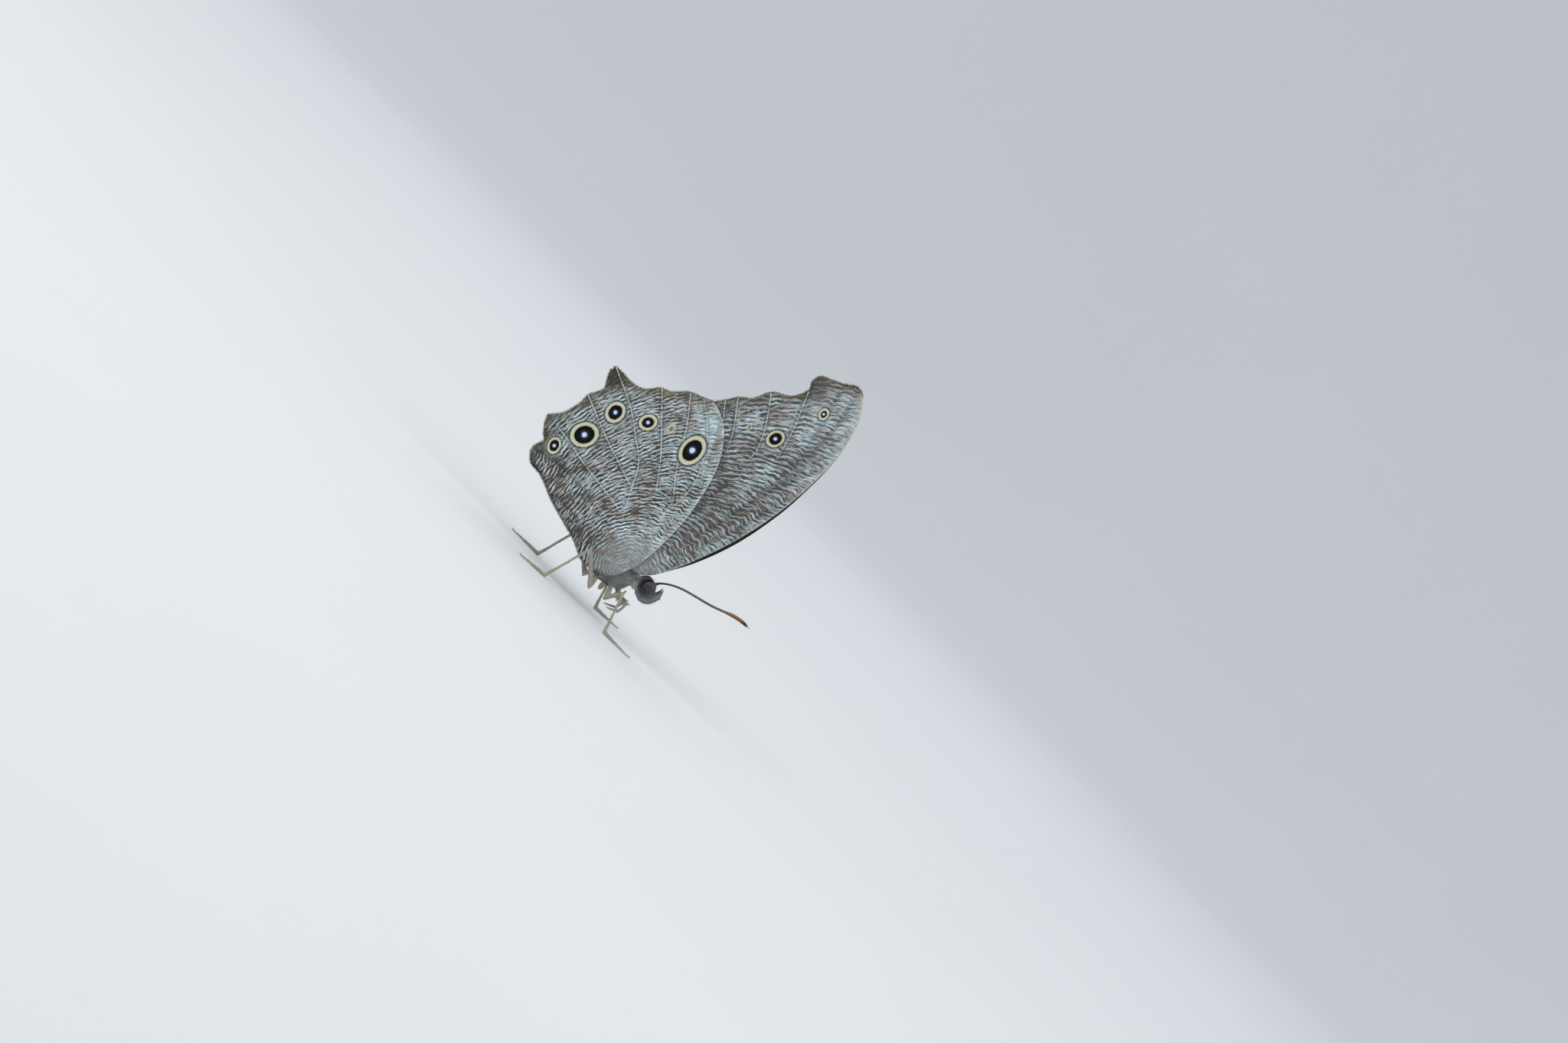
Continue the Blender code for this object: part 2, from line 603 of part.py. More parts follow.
def build():
    clear_scene()
    root = bpy.data.objects.new("butterfly", None)
    bpy.context.collection.objects.link(root)
    root.location = Vector((THORAX_AHEAD_OF_MIDDLE, 0.0, THORAX_ABOVE_FLOOR)) * MM
    add_body(root)
    for label, side in (("L", 1), ("R", -1)):
        fore_swing = LEFT_FORE_SWING if side > 0 else 0.0
        hind_swing = LEFT_HIND_SWING if side > 0 else 0.0
        wing(f"forewing_{label}", side, FORE_MARGIN, FORE_VEINS, FORE_PIVOT, fore_swing,
             FORE_OUT_AT_TIP, FORE_OUT_AT_ROOT, root)
        wing(f"hindwing_{label}", side, HIND_MARGIN, HIND_VEINS, HIND_PIVOT, hind_swing,
             HIND_OUT_AT_TIP, HIND_OUT_AT_ROOT, root)
        add_antenna(label, side, root)
        add_palp(label, side, root)
        for kind in LEGS:
            add_leg(kind, label, side, root)


build()
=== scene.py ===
"""Looks of the common evening brown butterfly: camera, stage, wings, skin, eyes, antennae and coat.

Places on the animal are in millimetres from the middle of the thorax, as in the part's source, and are
turned into metres in the row frame by world(). The head points along +X and the left side is +Y.
"""

import math
from collections import namedtuple

import bmesh
import bpy
import numpy as np
from mathutils import Matrix, Vector
from mathutils.bvhtree import BVHTree
from mathutils.geometry import delaunay_2d_cdt

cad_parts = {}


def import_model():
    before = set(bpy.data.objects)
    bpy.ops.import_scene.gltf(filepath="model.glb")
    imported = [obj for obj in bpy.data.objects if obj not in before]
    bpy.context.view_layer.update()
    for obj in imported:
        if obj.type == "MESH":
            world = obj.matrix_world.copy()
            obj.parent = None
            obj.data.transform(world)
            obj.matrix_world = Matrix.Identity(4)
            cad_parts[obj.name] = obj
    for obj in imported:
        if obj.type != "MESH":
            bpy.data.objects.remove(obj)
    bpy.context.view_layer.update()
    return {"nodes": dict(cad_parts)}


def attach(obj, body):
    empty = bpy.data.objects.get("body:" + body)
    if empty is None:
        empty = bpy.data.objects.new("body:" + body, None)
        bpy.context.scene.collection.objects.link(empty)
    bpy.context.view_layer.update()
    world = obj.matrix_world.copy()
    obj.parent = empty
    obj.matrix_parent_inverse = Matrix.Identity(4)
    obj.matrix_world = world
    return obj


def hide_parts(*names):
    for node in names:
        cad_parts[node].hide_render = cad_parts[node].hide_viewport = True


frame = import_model()
MM = 0.001

# Where the middle of the thorax is, in millimetres from the origin
THORAX = Vector((0.89, 0.0, 6.2))
BODY_PITCH = math.radians(15)

# Camera: the place of the thorax in the photograph, and the real size of one of its pixels
PHOTO_SIZE = (2048, 1362)
THORAX_PIXEL = (802, 743)
PIXEL = 0.0975
CAMERA_AZIMUTH = math.radians(-15)
CAMERA_ELEVATION = math.radians(3)
CAMERA_ROLL = math.radians(45)
LENS = 105.0
SENSOR = 36.0
NEAREST_SEEN = 0.01
FARTHEST_SEEN = 20.0

# Stage, in metres: a round floor, the bend behind it and the wall, in rings of points
FLOOR_REACH = 0.66
FLOOR_RINGS = 6
FLOOR_SIDES = 96
WALL_BEND = 0.4
WALL_RINGS = 12
WALL_TOP = 0.42
SKY_COLOUR = (0.9, 0.95, 1.0, 1.0)
SKY_STRENGTH = 1.05
LIGHTS_AIM = Vector((0.0, 0.0, 0.02))
# Each light: name, azimuth and elevation in degrees, distance, size, power and colour
LIGHTS = (
    ("key", -62, 48, 0.55, 0.4, 1.3, (1.0, 0.985, 0.96)),
    ("fill", 35, 30, 0.6, 0.5, 0.35, (0.97, 0.985, 1.0)),
    ("far", 170, 45, 0.6, 0.5, 0.5, (1.0, 1.0, 1.0)),
)

SIDES = {"L": 1, "R": -1}

# Wings: half the thickness of a membrane with its scales, its ridges and pleats, and how it stands out
WING_HALF = 0.07
VEIN_RISE = 0.05
VEIN_FOOT = 0.14
PLEAT = 0.06
PLEAT_REACH = 0.8
FORE_OUT_AT_TIP = 0.4
FORE_OUT_AT_ROOT = 1.85
HIND_OUT_AT_TIP = 1.32
HIND_OUT_AT_ROOT = 2.75
HIND_LEAN = 0.34
HIND_LEAN_REACH = 3.2
SPREAD_STARTS_ABOVE = 1.6
SPREAD_HEIGHT = 5.5
SPREAD_STARTS_BEHIND = 8.0
SPREAD_LENGTH = 6.0
FORE_PIVOT = (1.2, 1.6)
HIND_PIVOT = (-0.6, 0.6)
LEFT_WINGS_AHEAD = 1.1
LEFT_FORE_SWING = math.radians(1.7)
LEFT_HIND_SWING = math.radians(2.2)

# The membrane's points: the steps along margins and veins and in the field between them, the height of
# the field's rows and its distance from margin and veins in field steps, and what counts as one point
MARGIN_STEP = 0.28
VEIN_STEP = 0.5
FIELD_STEP = 0.55
ROW_SHARE = 0.87
CLEAR_OF_MARGIN = 0.45
CLEAR_OF_VEIN = 0.3
SAME_POINT = 0.01
# How far the wings' unwraps stay off the edges of their squares
UNWRAP_EDGE = 0.01

# Margins, as (x, z) in order round the wing. A corner is a point where the margin turns sharply.
CORNER = True
HIND_MARGIN = (
    (-0.2, -0.6), (-1.2, -1.3), (-2.7, -1.65), (-4.6, -1.75), (-7.1, -0.6), (-10.1, 0.3),
    (-12.8, 1.2), (-15.9, 2.6), (-18.2, 3.1), (-18.9, 4.2), (-18.4, 6.1, CORNER), (-19.6, 7.0),
    (-20.5, 8.4, CORNER), (-19.3, 9.8), (-18.9, 10.9), (-18.55, 12.6), (-18.6, 13.8, CORNER),
    (-17.75, 15.4), (-17.7, 16.4), (-18.4, 17.7), (-18.75, 18.7, CORNER), (-17.6, 18.75),
    (-15.6, 18.7), (-14.0, 19.15), (-12.5, 20.8, CORNER), (-11.1, 21.4), (-9.5, 22.9),
    (-7.9, 23.5), (-6.4, 24.1), (-4.6, 23.6), (-2.9, 22.5), (-1.1, 20.4), (0.2, 17.9),
    (1.1, 14.8), (1.8, 10.8), (1.8, 6.5), (1.3, 3.0), (0.5, 0.6),
)
FORE_MARGIN = (
    (1.0, 1.7), (-0.6, 3.2), (-1.6, 7.0), (-2.9, 12.0), (-4.9, 17.2), (-7.2, 21.4), (-7.6, 23.0),
    (-6.4, 24.0), (-5.3, 25.4), (-4.4, 26.7), (-2.9, 28.0), (-1.8, 30.1), (0.2, 31.3),
    (1.2, 32.6), (1.6, 33.8, CORNER), (1.1, 34.8), (1.4, 35.9), (2.7, 36.5), (4.2, 37.1),
    (5.9, 38.1), (7.1, 37.7), (8.2, 36.5), (9.1, 34.8), (9.9, 32.2), (10.4, 29.0),
    (10.4, 24.8), (9.9, 19.4), (8.5, 13.2), (6.3, 7.5), (4.2, 3.7), (2.9, 2.3), (1.9, 1.8),
)
# The outer edge and the front edge in these lists, as the numbers of their first and last points
HIND_FRINGED = (8, 28)
FORE_FRINGED = (5, 20)
FORE_COSTA = (20, 29)
HIND_COSTA = (28, 37)

# Faint brown lines across the wings
HIND_LINES = (
    ((-3.6, 14.7), (-6.7, 12.9), (-8.6, 10.6), (-11.3, 7.7), (-13.6, 5.2)),
    ((-0.1, 13.9), (-2.1, 11.2), (-4.0, 7.0), (-6.3, 4.2)),
)
FORE_LINES = (
    ((7.0, 32.1), (7.3, 28.3), (6.3, 25.2), (3.6, 23.7), (0.6, 21.8)),
    ((8.8, 18.6), (5.6, 15.6), (3.8, 15.0), (2.0, 14.6)),
)

# Veins, from the root outwards, as (x, z). The last point lies just past the margin.
HIND_VEINS = {
    "costal": ((-0.2, 1.4), (0.7, 4.4), (0.9, 9.5), (0.3, 14.5), (-1.5, 19.0), (-4.4, 23.9)),
    "cell_top": ((-0.4, 1.2), (-0.4, 6.0), (-1.1, 11.5)),
    "cell_end": ((-1.1, 11.5), (-3.7, 11.1), (-6.2, 9.1)),
    "cell_bottom": ((-0.7, 0.9), (-2.2, 2.6), (-4.4, 5.6), (-6.2, 9.1)),
    "rs": ((-0.7, 9.0), (-0.6, 14.3), (-2.2, 18.2), (-4.6, 21.2), (-8.1, 23.9)),
    "m1": ((-1.1, 11.5), (-3.8, 14.9), (-6.9, 19.8), (-9.7, 23.3)),
    "m2": ((-3.7, 11.1), (-6.5, 14.7), (-9.6, 17.9), (-12.8, 21.2)),
    "m3": ((-6.2, 9.1), (-7.8, 12.0), (-10.6, 14.2), (-13.9, 16.5), (-19.1, 18.95)),
    "cu1": ((-6.2, 9.1), (-10.6, 10.6), (-13.4, 11.6), (-19.1, 13.95)),
    "cu2": ((-4.6, 5.9), (-7.5, 6.4), (-13.1, 7.2), (-16.3, 7.9), (-21.1, 8.5)),
    "2a": ((-0.8, 0.6), (-3.1, 3.1), (-5.7, 4.2), (-9.1, 4.6), (-14.0, 4.9), (-19.4, 4.3)),
    "3a": ((-0.9, 0.2), (-4.2, 0.9), (-8.6, 1.7), (-12.4, 1.9)),
}
FORE_VEINS = {
    "subcostal": ((2.0, 2.5), (4.9, 7.6), (7.4, 14.0), (9.1, 20.0), (10.9, 25.4)),
    "cell_top": ((1.8, 2.3), (3.9, 8.5), (5.9, 16.0), (7.3, 25.4)),
    "cell_end": ((7.3, 25.4), (4.9, 24.2), (2.2, 23.3)),
    "cell_bottom": ((1.5, 2.2), (1.7, 7.0), (2.0, 12.6), (2.3, 17.0), (2.2, 23.3)),
    "r1": ((6.3, 18.6), (8.4, 24.4), (10.9, 29.4)),
    "r2": ((6.8, 22.0), (8.7, 28.0), (10.3, 32.4)),
    "r3": ((7.3, 25.4), (8.4, 31.0), (9.5, 35.0)),
    "r5": ((7.7, 28.2), (7.3, 33.0), (5.8, 38.7)),
    "m1": ((7.3, 25.4), (6.0, 31.0), (4.1, 37.7)),
    "m2": ((4.9, 24.2), (3.6, 28.7), (2.4, 31.4), (1.2, 34.2)),
    "m3": ((2.2, 23.3), (1.2, 25.7), (-0.1, 27.7), (-2.2, 30.5)),
    "cu1": ((2.3, 17.0), (0.6, 18.4), (-1.6, 22.8), (-4.8, 27.1)),
    "cu2": ((2.0, 12.6), (1.1, 15.7), (-1.4, 20.2), (-5.8, 25.8)),
    "2a": ((1.3, 2.4), (-0.4, 8.0), (-2.6, 14.5), (-8.0, 23.6)),
}

Wing = namedtuple("Wing", "kind margin veins fringed costa lines pivot left_swing at_tip at_root steepens")
HINDWING = Wing("hindwing", HIND_MARGIN, HIND_VEINS, HIND_FRINGED, HIND_COSTA, HIND_LINES, HIND_PIVOT,
                LEFT_HIND_SWING, HIND_OUT_AT_TIP, HIND_OUT_AT_ROOT, False)
FOREWING = Wing("forewing", FORE_MARGIN, FORE_VEINS, FORE_FRINGED, FORE_COSTA, FORE_LINES, FORE_PIVOT,
                LEFT_FORE_SWING, FORE_OUT_AT_TIP, FORE_OUT_AT_ROOT, True)

# Kinds of tuft, with the ends between which their length, width and lift vary. The taper gives the share of
# the width at each of their three rings.
Tuft = namedtuple("Tuft", "length width thick lift taper")
HAIR = (1.0, 0.7, 0.36)
SCALE = (0.65, 1.0, 0.72)
THORAX_DOWN = Tuft((0.5, 0.85), (0.08, 0.13), 0.03, (0.14, 0.34), HAIR)
THORAX_LONG = Tuft((0.8, 1.3), (0.05, 0.08), 0.03, (0.25, 0.5), HAIR)
FRONT_HAIR = Tuft((0.9, 1.4), (0.06, 0.1), 0.03, (0.8, 1.7), HAIR)
HEAD_DOWN = Tuft((0.26, 0.42), (0.06, 0.1), 0.025, (0.15, 0.4), HAIR)
CROWN_HAIR = Tuft((0.5, 0.8), (0.05, 0.08), 0.025, (0.5, 0.9), HAIR)
COLLAR_HAIR = Tuft((0.35, 0.6), (0.06, 0.09), 0.03, (0.3, 0.6), HAIR)
PALP_SCALE = Tuft((0.18, 0.3), (0.07, 0.11), 0.02, (0.12, 0.3), SCALE)
PALP_BRISTLE = Tuft((0.3, 0.48), (0.035, 0.05), 0.025, (0.8, 1.2), HAIR)
ABDOMEN_SCALE = Tuft((0.28, 0.44), (0.12, 0.18), 0.025, (0.08, 0.22), SCALE)
LEG_SCALE = Tuft((0.15, 0.24), (0.07, 0.1), 0.02, (0.06, 0.18), SCALE)
LEG_BRISTLE = Tuft((0.24, 0.34), (0.03, 0.04), 0.03, (0.7, 1.1), HAIR)
FORELEG_HAIR = Tuft((0.3, 0.5), (0.05, 0.08), 0.02, (0.25, 0.5), HAIR)
CLAW = Tuft((0.32, 0.32), (0.07, 0.07), 0.05, (0.1, 0.1), HAIR)
FRINGE = Tuft((0.2, 0.38), (0.05, 0.08), 0.04, (-0.1, 0.15), HAIR)
ROOT_TUFT = Tuft((0.3, 0.55), (0.08, 0.13), 0.02, (0.04, 0.1), HAIR)
FRONT_LEAN = (1.3, 0.0, 0.6)
# How far two claws spread, and where they are rooted behind and over the end of a foot
CLAW_SPREAD = 0.5
CLAW_BACK = 0.05
CLAW_RISE = 0.08
CLEAR_OF_FLOOR = 0.01

# Fringe along the margins, each from one of their points, and soft hair over the wings' roots
FRINGE_FROM = {"hindwing": 2, "forewing": 5}
FRINGE_STEP = 0.05
FRINGE_INSET = 0.06
ROOT_HAIR_FAN = (1.6, -5.5)
ROOT_HAIR_REACH = 3.0
ROOT_HAIR_TRIES = 900

# The eyes and the antennae, with y counted outwards on both sides
EYE_CENTRE = (4.62, 1.1, 1.35)
EYE_SIZE = (2.1, 1.5, 2.2)
EYE_RINGS = 32
EYE_SIDES = 48
ANTENNA = {
    "L": ((4.7, 0.42, 1.45), (6.1, 0.65, 2.95), (8.5, 1.1, 4.1), (12.95, 1.8, 5.1), (16.35, 2.2, 6.15),
          (18.7, 2.45, 6.4)),
    "R": ((4.7, 0.42, 1.45), (5.75, 0.65, 3.0), (7.9, 1.1, 4.2), (12.0, 1.8, 5.3), (15.2, 2.2, 6.4),
          (17.6, 2.5, 6.7)),
}
ANTENNA_RADIUS = 0.115
CLUB_RADIUS = 0.2
CLUB_STARTS = 0.74
ANTENNA_RING = 0.3
ANTENNA_SIDES = 12
RING_STEPS = 5

# Routes of the palps and legs, along which their coat lies, with y counted outwards, and other ways it lies
ROUTES = {
    "palp": ((3.9, 0.46, 0.2), (5.0, 0.48, -0.35), (6.0, 0.48, 0.15), (6.55, 0.5, 1.3), (6.5, 0.52, 2.45)),
    "foreleg": ((1.9, 0.75, -0.9), (2.9, 0.8, -2.3), (4.3, 0.95, -2.0), (4.0, 1.1, -3.5), (2.6, 1.1, -4.1)),
    "midleg": ((0.9, 1.1, -1.4), (1.1, 2.9, -3.1), (1.7, 5.6, -0.9), (3.0, 7.6, -5.9), (7.3, 8.7, -6.0)),
    "hindleg": (
        (-1.3, 1.0, -1.6), (-1.5, 3.3, -3.3), (-5.4, 5.8, 0.4), (-7.5, 7.0, -5.9), (-11.9, 8.2, -6.0)),
}
BACKWARDS = (-0.93, 0.0, -0.36)
ABDOMEN_WAY = (-0.978, 0.0, 0.208)
CROWN_WAY = (0.55, 0.0, 0.83)
FACE_WAY = (0.3, 0.0, -0.95)

# The skin: how deep it lies in each kind of node, which is the depth of the coat there
COAT_DEPTH = {
    "head": 0.22, "thorax": 0.36, "abdomen": 0.16, "palp": 0.1,
    "foreleg": 0.05, "midleg": 0.08, "hindleg": 0.08,
}
LEG_SHARE_ON_FLOOR = 0.25
SKIN_BRIDGE = 0.22
SKIN_GRAIN = 0.1
SKIN_SMOOTHING = 6
DEPTH_SMOOTHING = 12
SKIN_LAST_GRAIN = 0.065
SKIN_LAST_SMOOTHING = 2

# Eyespots: centre, half length and half width of the black, lean of its length from +X in degrees, ring
# width and pupil radius. The faint ones are washed out and have no pupil.
HIND_SPOTS = (
    ((-3.99, 17.86), 1.46, 1.06, 95, 0.50, 0.30),
    ((-10.63, 16.50), 0.76, 0.64, 60, 0.38, 0.19),
    ((-14.55, 14.55), 0.96, 0.80, 95, 0.41, 0.21),
    ((-15.34, 9.80), 1.28, 1.10, 60, 0.48, 0.28),
    ((-17.12, 6.17), 0.73, 0.56, 115, 0.31, 0.17),
)
HIND_FAINT_SPOTS = (((-7.91, 17.98), 0.26, 0.20, 90, 0.40, 0.0),)
FORE_SPOTS = (
    ((2.79, 26.26), 0.85, 0.70, 75, 0.35, 0.19),
    ((5.00, 32.79), 0.46, 0.36, 100, 0.31, 0.14),
)
FORE_FAINT_SPOTS = (((-0.71, 25.00), 0.24, 0.11, 110, 0.26, 0.0),)

# How a wing looks. The weaves are two kinds of streaks, each with its scale and frequency. The painted shade,
# where the wing is painted greyer and more streaked as if in shade, is a place, the way in from it and its
# reach, and the clear end a place and its reach. The pale veins come up between two distances from the root
# and between two from the costa.
Look = namedtuple("Look", "name spots faint_spots weaves ink_share lightness darkest darkest_share dark_edge "
                          "dark_way dark_reach clear_end clear_reach veins_from_root veins_from_costa")
# The hindwing's painted shade lies along its inner margin, and the forewing's over its lower part, toward its
# root.
HIND_LOOK = Look(
    name="hindwing_scales", spots=HIND_SPOTS, faint_spots=HIND_FAINT_SPOTS, weaves=((0.9, 2.25), (1.6, 2.0)),
    ink_share=1.0, lightness=1.0, darkest=(-18.45, 18.0, 0.0), darkest_share=0.88,
    dark_edge=(-4.6, -1.75, 0.0), dark_way=(0.336, 0.942, 0.0), dark_reach=7.0,
    clear_end=(-3.5, 21.0, 0.0), clear_reach=6.0, veins_from_root=(5.0, 11.5), veins_from_costa=(0.5, 2.5))
FORE_LOOK = Look(
    name="forewing_scales", spots=FORE_SPOTS, faint_spots=FORE_FAINT_SPOTS, weaves=((0.8, 2.0), (1.6, 2.0)),
    ink_share=0.9, lightness=0.92, darkest=(1.1, 34.2, 0.0), darkest_share=0.6,
    dark_edge=(0.0, 0.0, 0.0), dark_way=(0.0, 1.0, 0.0), dark_reach=30.0,
    clear_end=(8.0, 34.0, 0.0), clear_reach=10.0, veins_from_root=(17.0, 25.0), veins_from_costa=(3.0, 8.0))
WING_ROOT = (0.6, 1.2, 0.0)
# The number of the streak noise's input for its direction, whose name another input has too
GABOR_ORIENTATION = 4


def world(place):
    """A place on the animal, from millimetres at the thorax to metres in the row frame."""
    return (Vector(place) + THORAX) * MM


def paint(red, green, blue):
    """A linear colour from the 0 to 1 values that a picture shows."""
    return tuple(((v + 0.055) / 1.055) ** 2.4 if v > 0.04 else v / 12.92 for v in (red, green, blue)) + (1.0,)


# Colours
PALE_SCALES = paint(0.825, 0.89, 0.895)
BLUE_SCALES = paint(0.745, 0.85, 0.88)
GREY_SCALES = paint(0.555, 0.565, 0.555)
PINK_SCALES = paint(0.61, 0.56, 0.54)
DARK_STREAK = paint(0.175, 0.175, 0.17)
BROWN_STREAK = paint(0.275, 0.255, 0.225)
LINE_BROWN = paint(0.30, 0.25, 0.18)
TAIL_BROWN = paint(0.245, 0.23, 0.185)
OCHRE_SCALES = paint(0.50, 0.455, 0.30)
EDGE_BROWN = paint(0.29, 0.265, 0.215)
VEIN_SCALES = paint(0.86, 0.885, 0.87)
COSTA_CREAM = paint(0.80, 0.79, 0.72)
BASE_PINK = paint(0.53, 0.505, 0.49)
BASE_PALE = paint(0.625, 0.665, 0.665)
ROOT_HAIR = paint(0.67, 0.70, 0.70)
ROOT_HAIR_WARM = paint(0.57, 0.54, 0.525)
FRINGE_PALE = paint(0.62, 0.60, 0.55)
FRINGE_DARK = paint(0.34, 0.31, 0.26)
SPOT_BLACK = paint(0.03, 0.025, 0.04)
SPOT_PUPIL = paint(0.86, 0.90, 0.96)
SPOT_GLOW = paint(0.27, 0.34, 0.52)
SPOT_RING = paint(0.81, 0.805, 0.69)
SPOT_RIM = paint(0.22, 0.21, 0.17)
UPPERSIDE = paint(0.165, 0.125, 0.095)
THORAX_SIDE = paint(0.625, 0.645, 0.64)
THORAX_BELOW = paint(0.57, 0.56, 0.54)
THORAX_TOP = paint(0.33, 0.28, 0.23)
HEAD_SIDE = paint(0.60, 0.60, 0.59)
HEAD_TOP = paint(0.64, 0.59, 0.58)
COLLAR = paint(0.86, 0.85, 0.81)
PALP_PALE = paint(0.525, 0.54, 0.53)
PALP_DARK = paint(0.12, 0.11, 0.12)
ABDOMEN_TOP = paint(0.33, 0.29, 0.25)
ABDOMEN_BELOW = paint(0.55, 0.545, 0.52)
LEG_PALE = paint(0.70, 0.67, 0.61)
LEG_DARK = paint(0.56, 0.53, 0.47)
LEG_SPINE = paint(0.30, 0.25, 0.20)
EYE_DARK = paint(0.095, 0.09, 0.095)
EYE_PALE = paint(0.20, 0.195, 0.21)
ANTENNA_DARK = paint(0.17, 0.14, 0.12)
ANTENNA_BROWN = paint(0.30, 0.22, 0.16)
ANTENNA_ORANGE = paint(0.46, 0.29, 0.14)
ANTENNA_JOINT = paint(0.62, 0.58, 0.50)
ANTENNA_TIP = paint(0.78, 0.75, 0.66)
FLOOR_DARK = paint(0.78, 0.785, 0.79)
FLOOR_PALE = paint(0.80, 0.805, 0.81)

# Layers of colour from below, each with the values where it begins and is full, and its share there
FAINT_SPOT_LAYERS = ((SPOT_RING, 1.3, 0.7, 0.6), (EDGE_BROWN, 0.3, -0.1, 0.7))
SPOT_LAYERS = (
    (BLUE_SCALES, 3.0, 1.3, 0.16), (SPOT_RIM, 1.9, 1.3, 0.8), (SPOT_RING, 1.16, 0.92, 1.0),
    (OCHRE_SCALES, 0.5, 0.0, 0.4), (SPOT_BLACK, 0.18, -0.04, 1.0),
)
PUPIL_LAYERS = ((SPOT_GLOW, 2.6, 1.0, 0.5), (SPOT_PUPIL, 1.5, 0.7, 1.0))
ANTENNA_LAYERS = (
    (ANTENNA_BROWN, 0.1, 0.4, 1.0), (ANTENNA_ORANGE, 0.6, 0.86, 1.0), (ANTENNA_DARK, 0.88, 0.925, 1.0),
    (ANTENNA_TIP, 0.955, 0.975, 1.0),
)


def add_object(name, data):
    """A new object in the scene, made of the given data."""
    made = bpy.data.objects.new(name, data)
    bpy.context.collection.objects.link(made)
    return made


def direction(azimuth, elevation):
    """The way out from the animal at two angles. Azimuth 0 is straight out from its right side."""
    level = math.cos(elevation)
    return Vector((math.sin(azimuth) * level, -math.cos(azimuth) * level, math.sin(elevation)))


def make_camera():
    """A camera at the photograph's angle, rolled so that the head points to the lower right."""
    back = direction(CAMERA_AZIMUTH, CAMERA_ELEVATION)
    level = Vector((math.cos(CAMERA_AZIMUTH), math.sin(CAMERA_AZIMUTH), 0.0))
    upward = back.cross(level)
    right = level * math.cos(CAMERA_ROLL) + upward * math.sin(CAMERA_ROLL)
    up = upward * math.cos(CAMERA_ROLL) - level * math.sin(CAMERA_ROLL)
    across = (THORAX_PIXEL[0] - PHOTO_SIZE[0] / 2) * PIXEL
    rise = (PHOTO_SIZE[1] / 2 - THORAX_PIXEL[1]) * PIXEL
    aim = (THORAX - right * across - up * rise) * MM
    distance = PHOTO_SIZE[0] * PIXEL * MM * LENS / SENSOR
    camera = add_object("camera", bpy.data.cameras.new("camera"))
    camera.data.lens = LENS
    camera.data.sensor_width = SENSOR
    camera.data.clip_start = NEAREST_SEEN
    camera.data.clip_end = FARTHEST_SEEN
    turn = Matrix((right, up, back)).transposed().to_4x4()
    camera.matrix_world = Matrix.Translation(aim + back * distance) @ turn
    bpy.context.scene.camera = camera


def add_light(name, azimuth, elevation, distance, size, power, colour):
    """A soft square light that looks at the middle of the animal."""
    lamp = bpy.data.lights.new(name, "AREA")
    lamp.size = size
    lamp.energy = power
    lamp.color = colour
    away = direction(math.radians(azimuth), math.radians(elevation))
    light = add_object(name, lamp)
    light.location = LIGHTS_AIM + away * distance
    light.rotation_mode = "QUATERNION"
    light.rotation_quaternion = away.to_track_quat("Z", "Y")


def make_stage():
    """A round pale floor that curves up into a far wall, with soft studio lights and a pale sky."""
    profile = [(FLOOR_REACH * k / FLOOR_RINGS, 0.0) for k in range(1, FLOOR_RINGS + 1)]
    for k in range(1, WALL_RINGS + 1):
        turn = math.pi / 2 * k / WALL_RINGS
        profile.append((FLOOR_REACH + WALL_BEND * math.sin(turn), WALL_BEND * (1 - math.cos(turn))))
    profile.append((FLOOR_REACH + WALL_BEND, WALL_TOP))
    turns = [2 * math.pi * k / FLOOR_SIDES for k in range(FLOOR_SIDES)]
    pairs = [(k, (k + 1) % FLOOR_SIDES) for k in range(FLOOR_SIDES)]
    points = [(0.0, 0.0, 0.0)]
    for radius, height in profile:
        points += [(radius * math.cos(t), radius * math.sin(t), height) for t in turns]
    faces = [(0, 1 + k, 1 + n) for k, n in pairs]
    for ring in range(len(profile) - 1):
        a = 1 + ring * FLOOR_SIDES
        b = a + FLOOR_SIDES
        faces += [(a + k, b + k, b + n, a + n) for k, n in pairs]
    mesh = bpy.data.meshes.new("floor")
    mesh.from_pydata(points, [], faces)
    mesh.shade_smooth()
    floor = add_object("floor", mesh)
    graph = Graph("floor_paper", 0.9)
    grain = graph.noise(graph.own_place(), 9.0, 3.0)
    mesh.materials.append(graph.done(graph.mix(grain, FLOOR_DARK, FLOOR_PALE)))
    sky = bpy.data.worlds.new("sky")
    sky.use_nodes = True
    background = sky.node_tree.nodes["Background"]
    background.inputs["Color"].default_value = SKY_COLOUR
    background.inputs["Strength"].default_value = SKY_STRENGTH
    bpy.context.scene.world = sky
    for light in LIGHTS:
        add_light(*light)
    bpy.context.scene.view_settings.view_transform = "Standard"


class Term:
    """A value made by a material's nodes. Arithmetic with it adds a node for each sign."""

    def __init__(self, graph, socket):
        self.graph = graph
        self.socket = socket

    def __add__(self, other):
        return self.graph.math("ADD", self, other)

    def __sub__(self, other):
        return self.graph.math("SUBTRACT", self, other)

    def __rsub__(self, other):
        return self.graph.math("SUBTRACT", other, self)

    def __mul__(self, other):
        return self.graph.math("MULTIPLY", self, other)

    def __truediv__(self, other):
        return self.graph.math("DIVIDE", self, other)

    def least(self, other):
        return self.graph.math("MINIMUM", self, other)

    def step(self, low, high):
        """A smooth step from 0 at low to 1 at high. It falls instead where low is above high."""
        ends = (1.0, 0.0) if low > high else (0.0, 1.0)
        inputs = {"Value": self, "From Min": min(low, high), "From Max": max(low, high),
                  "To Min": ends[0], "To Max": ends[1]}
        return self.graph.add("ShaderNodeMapRange", "Result", inputs, interpolation_type="SMOOTHSTEP")


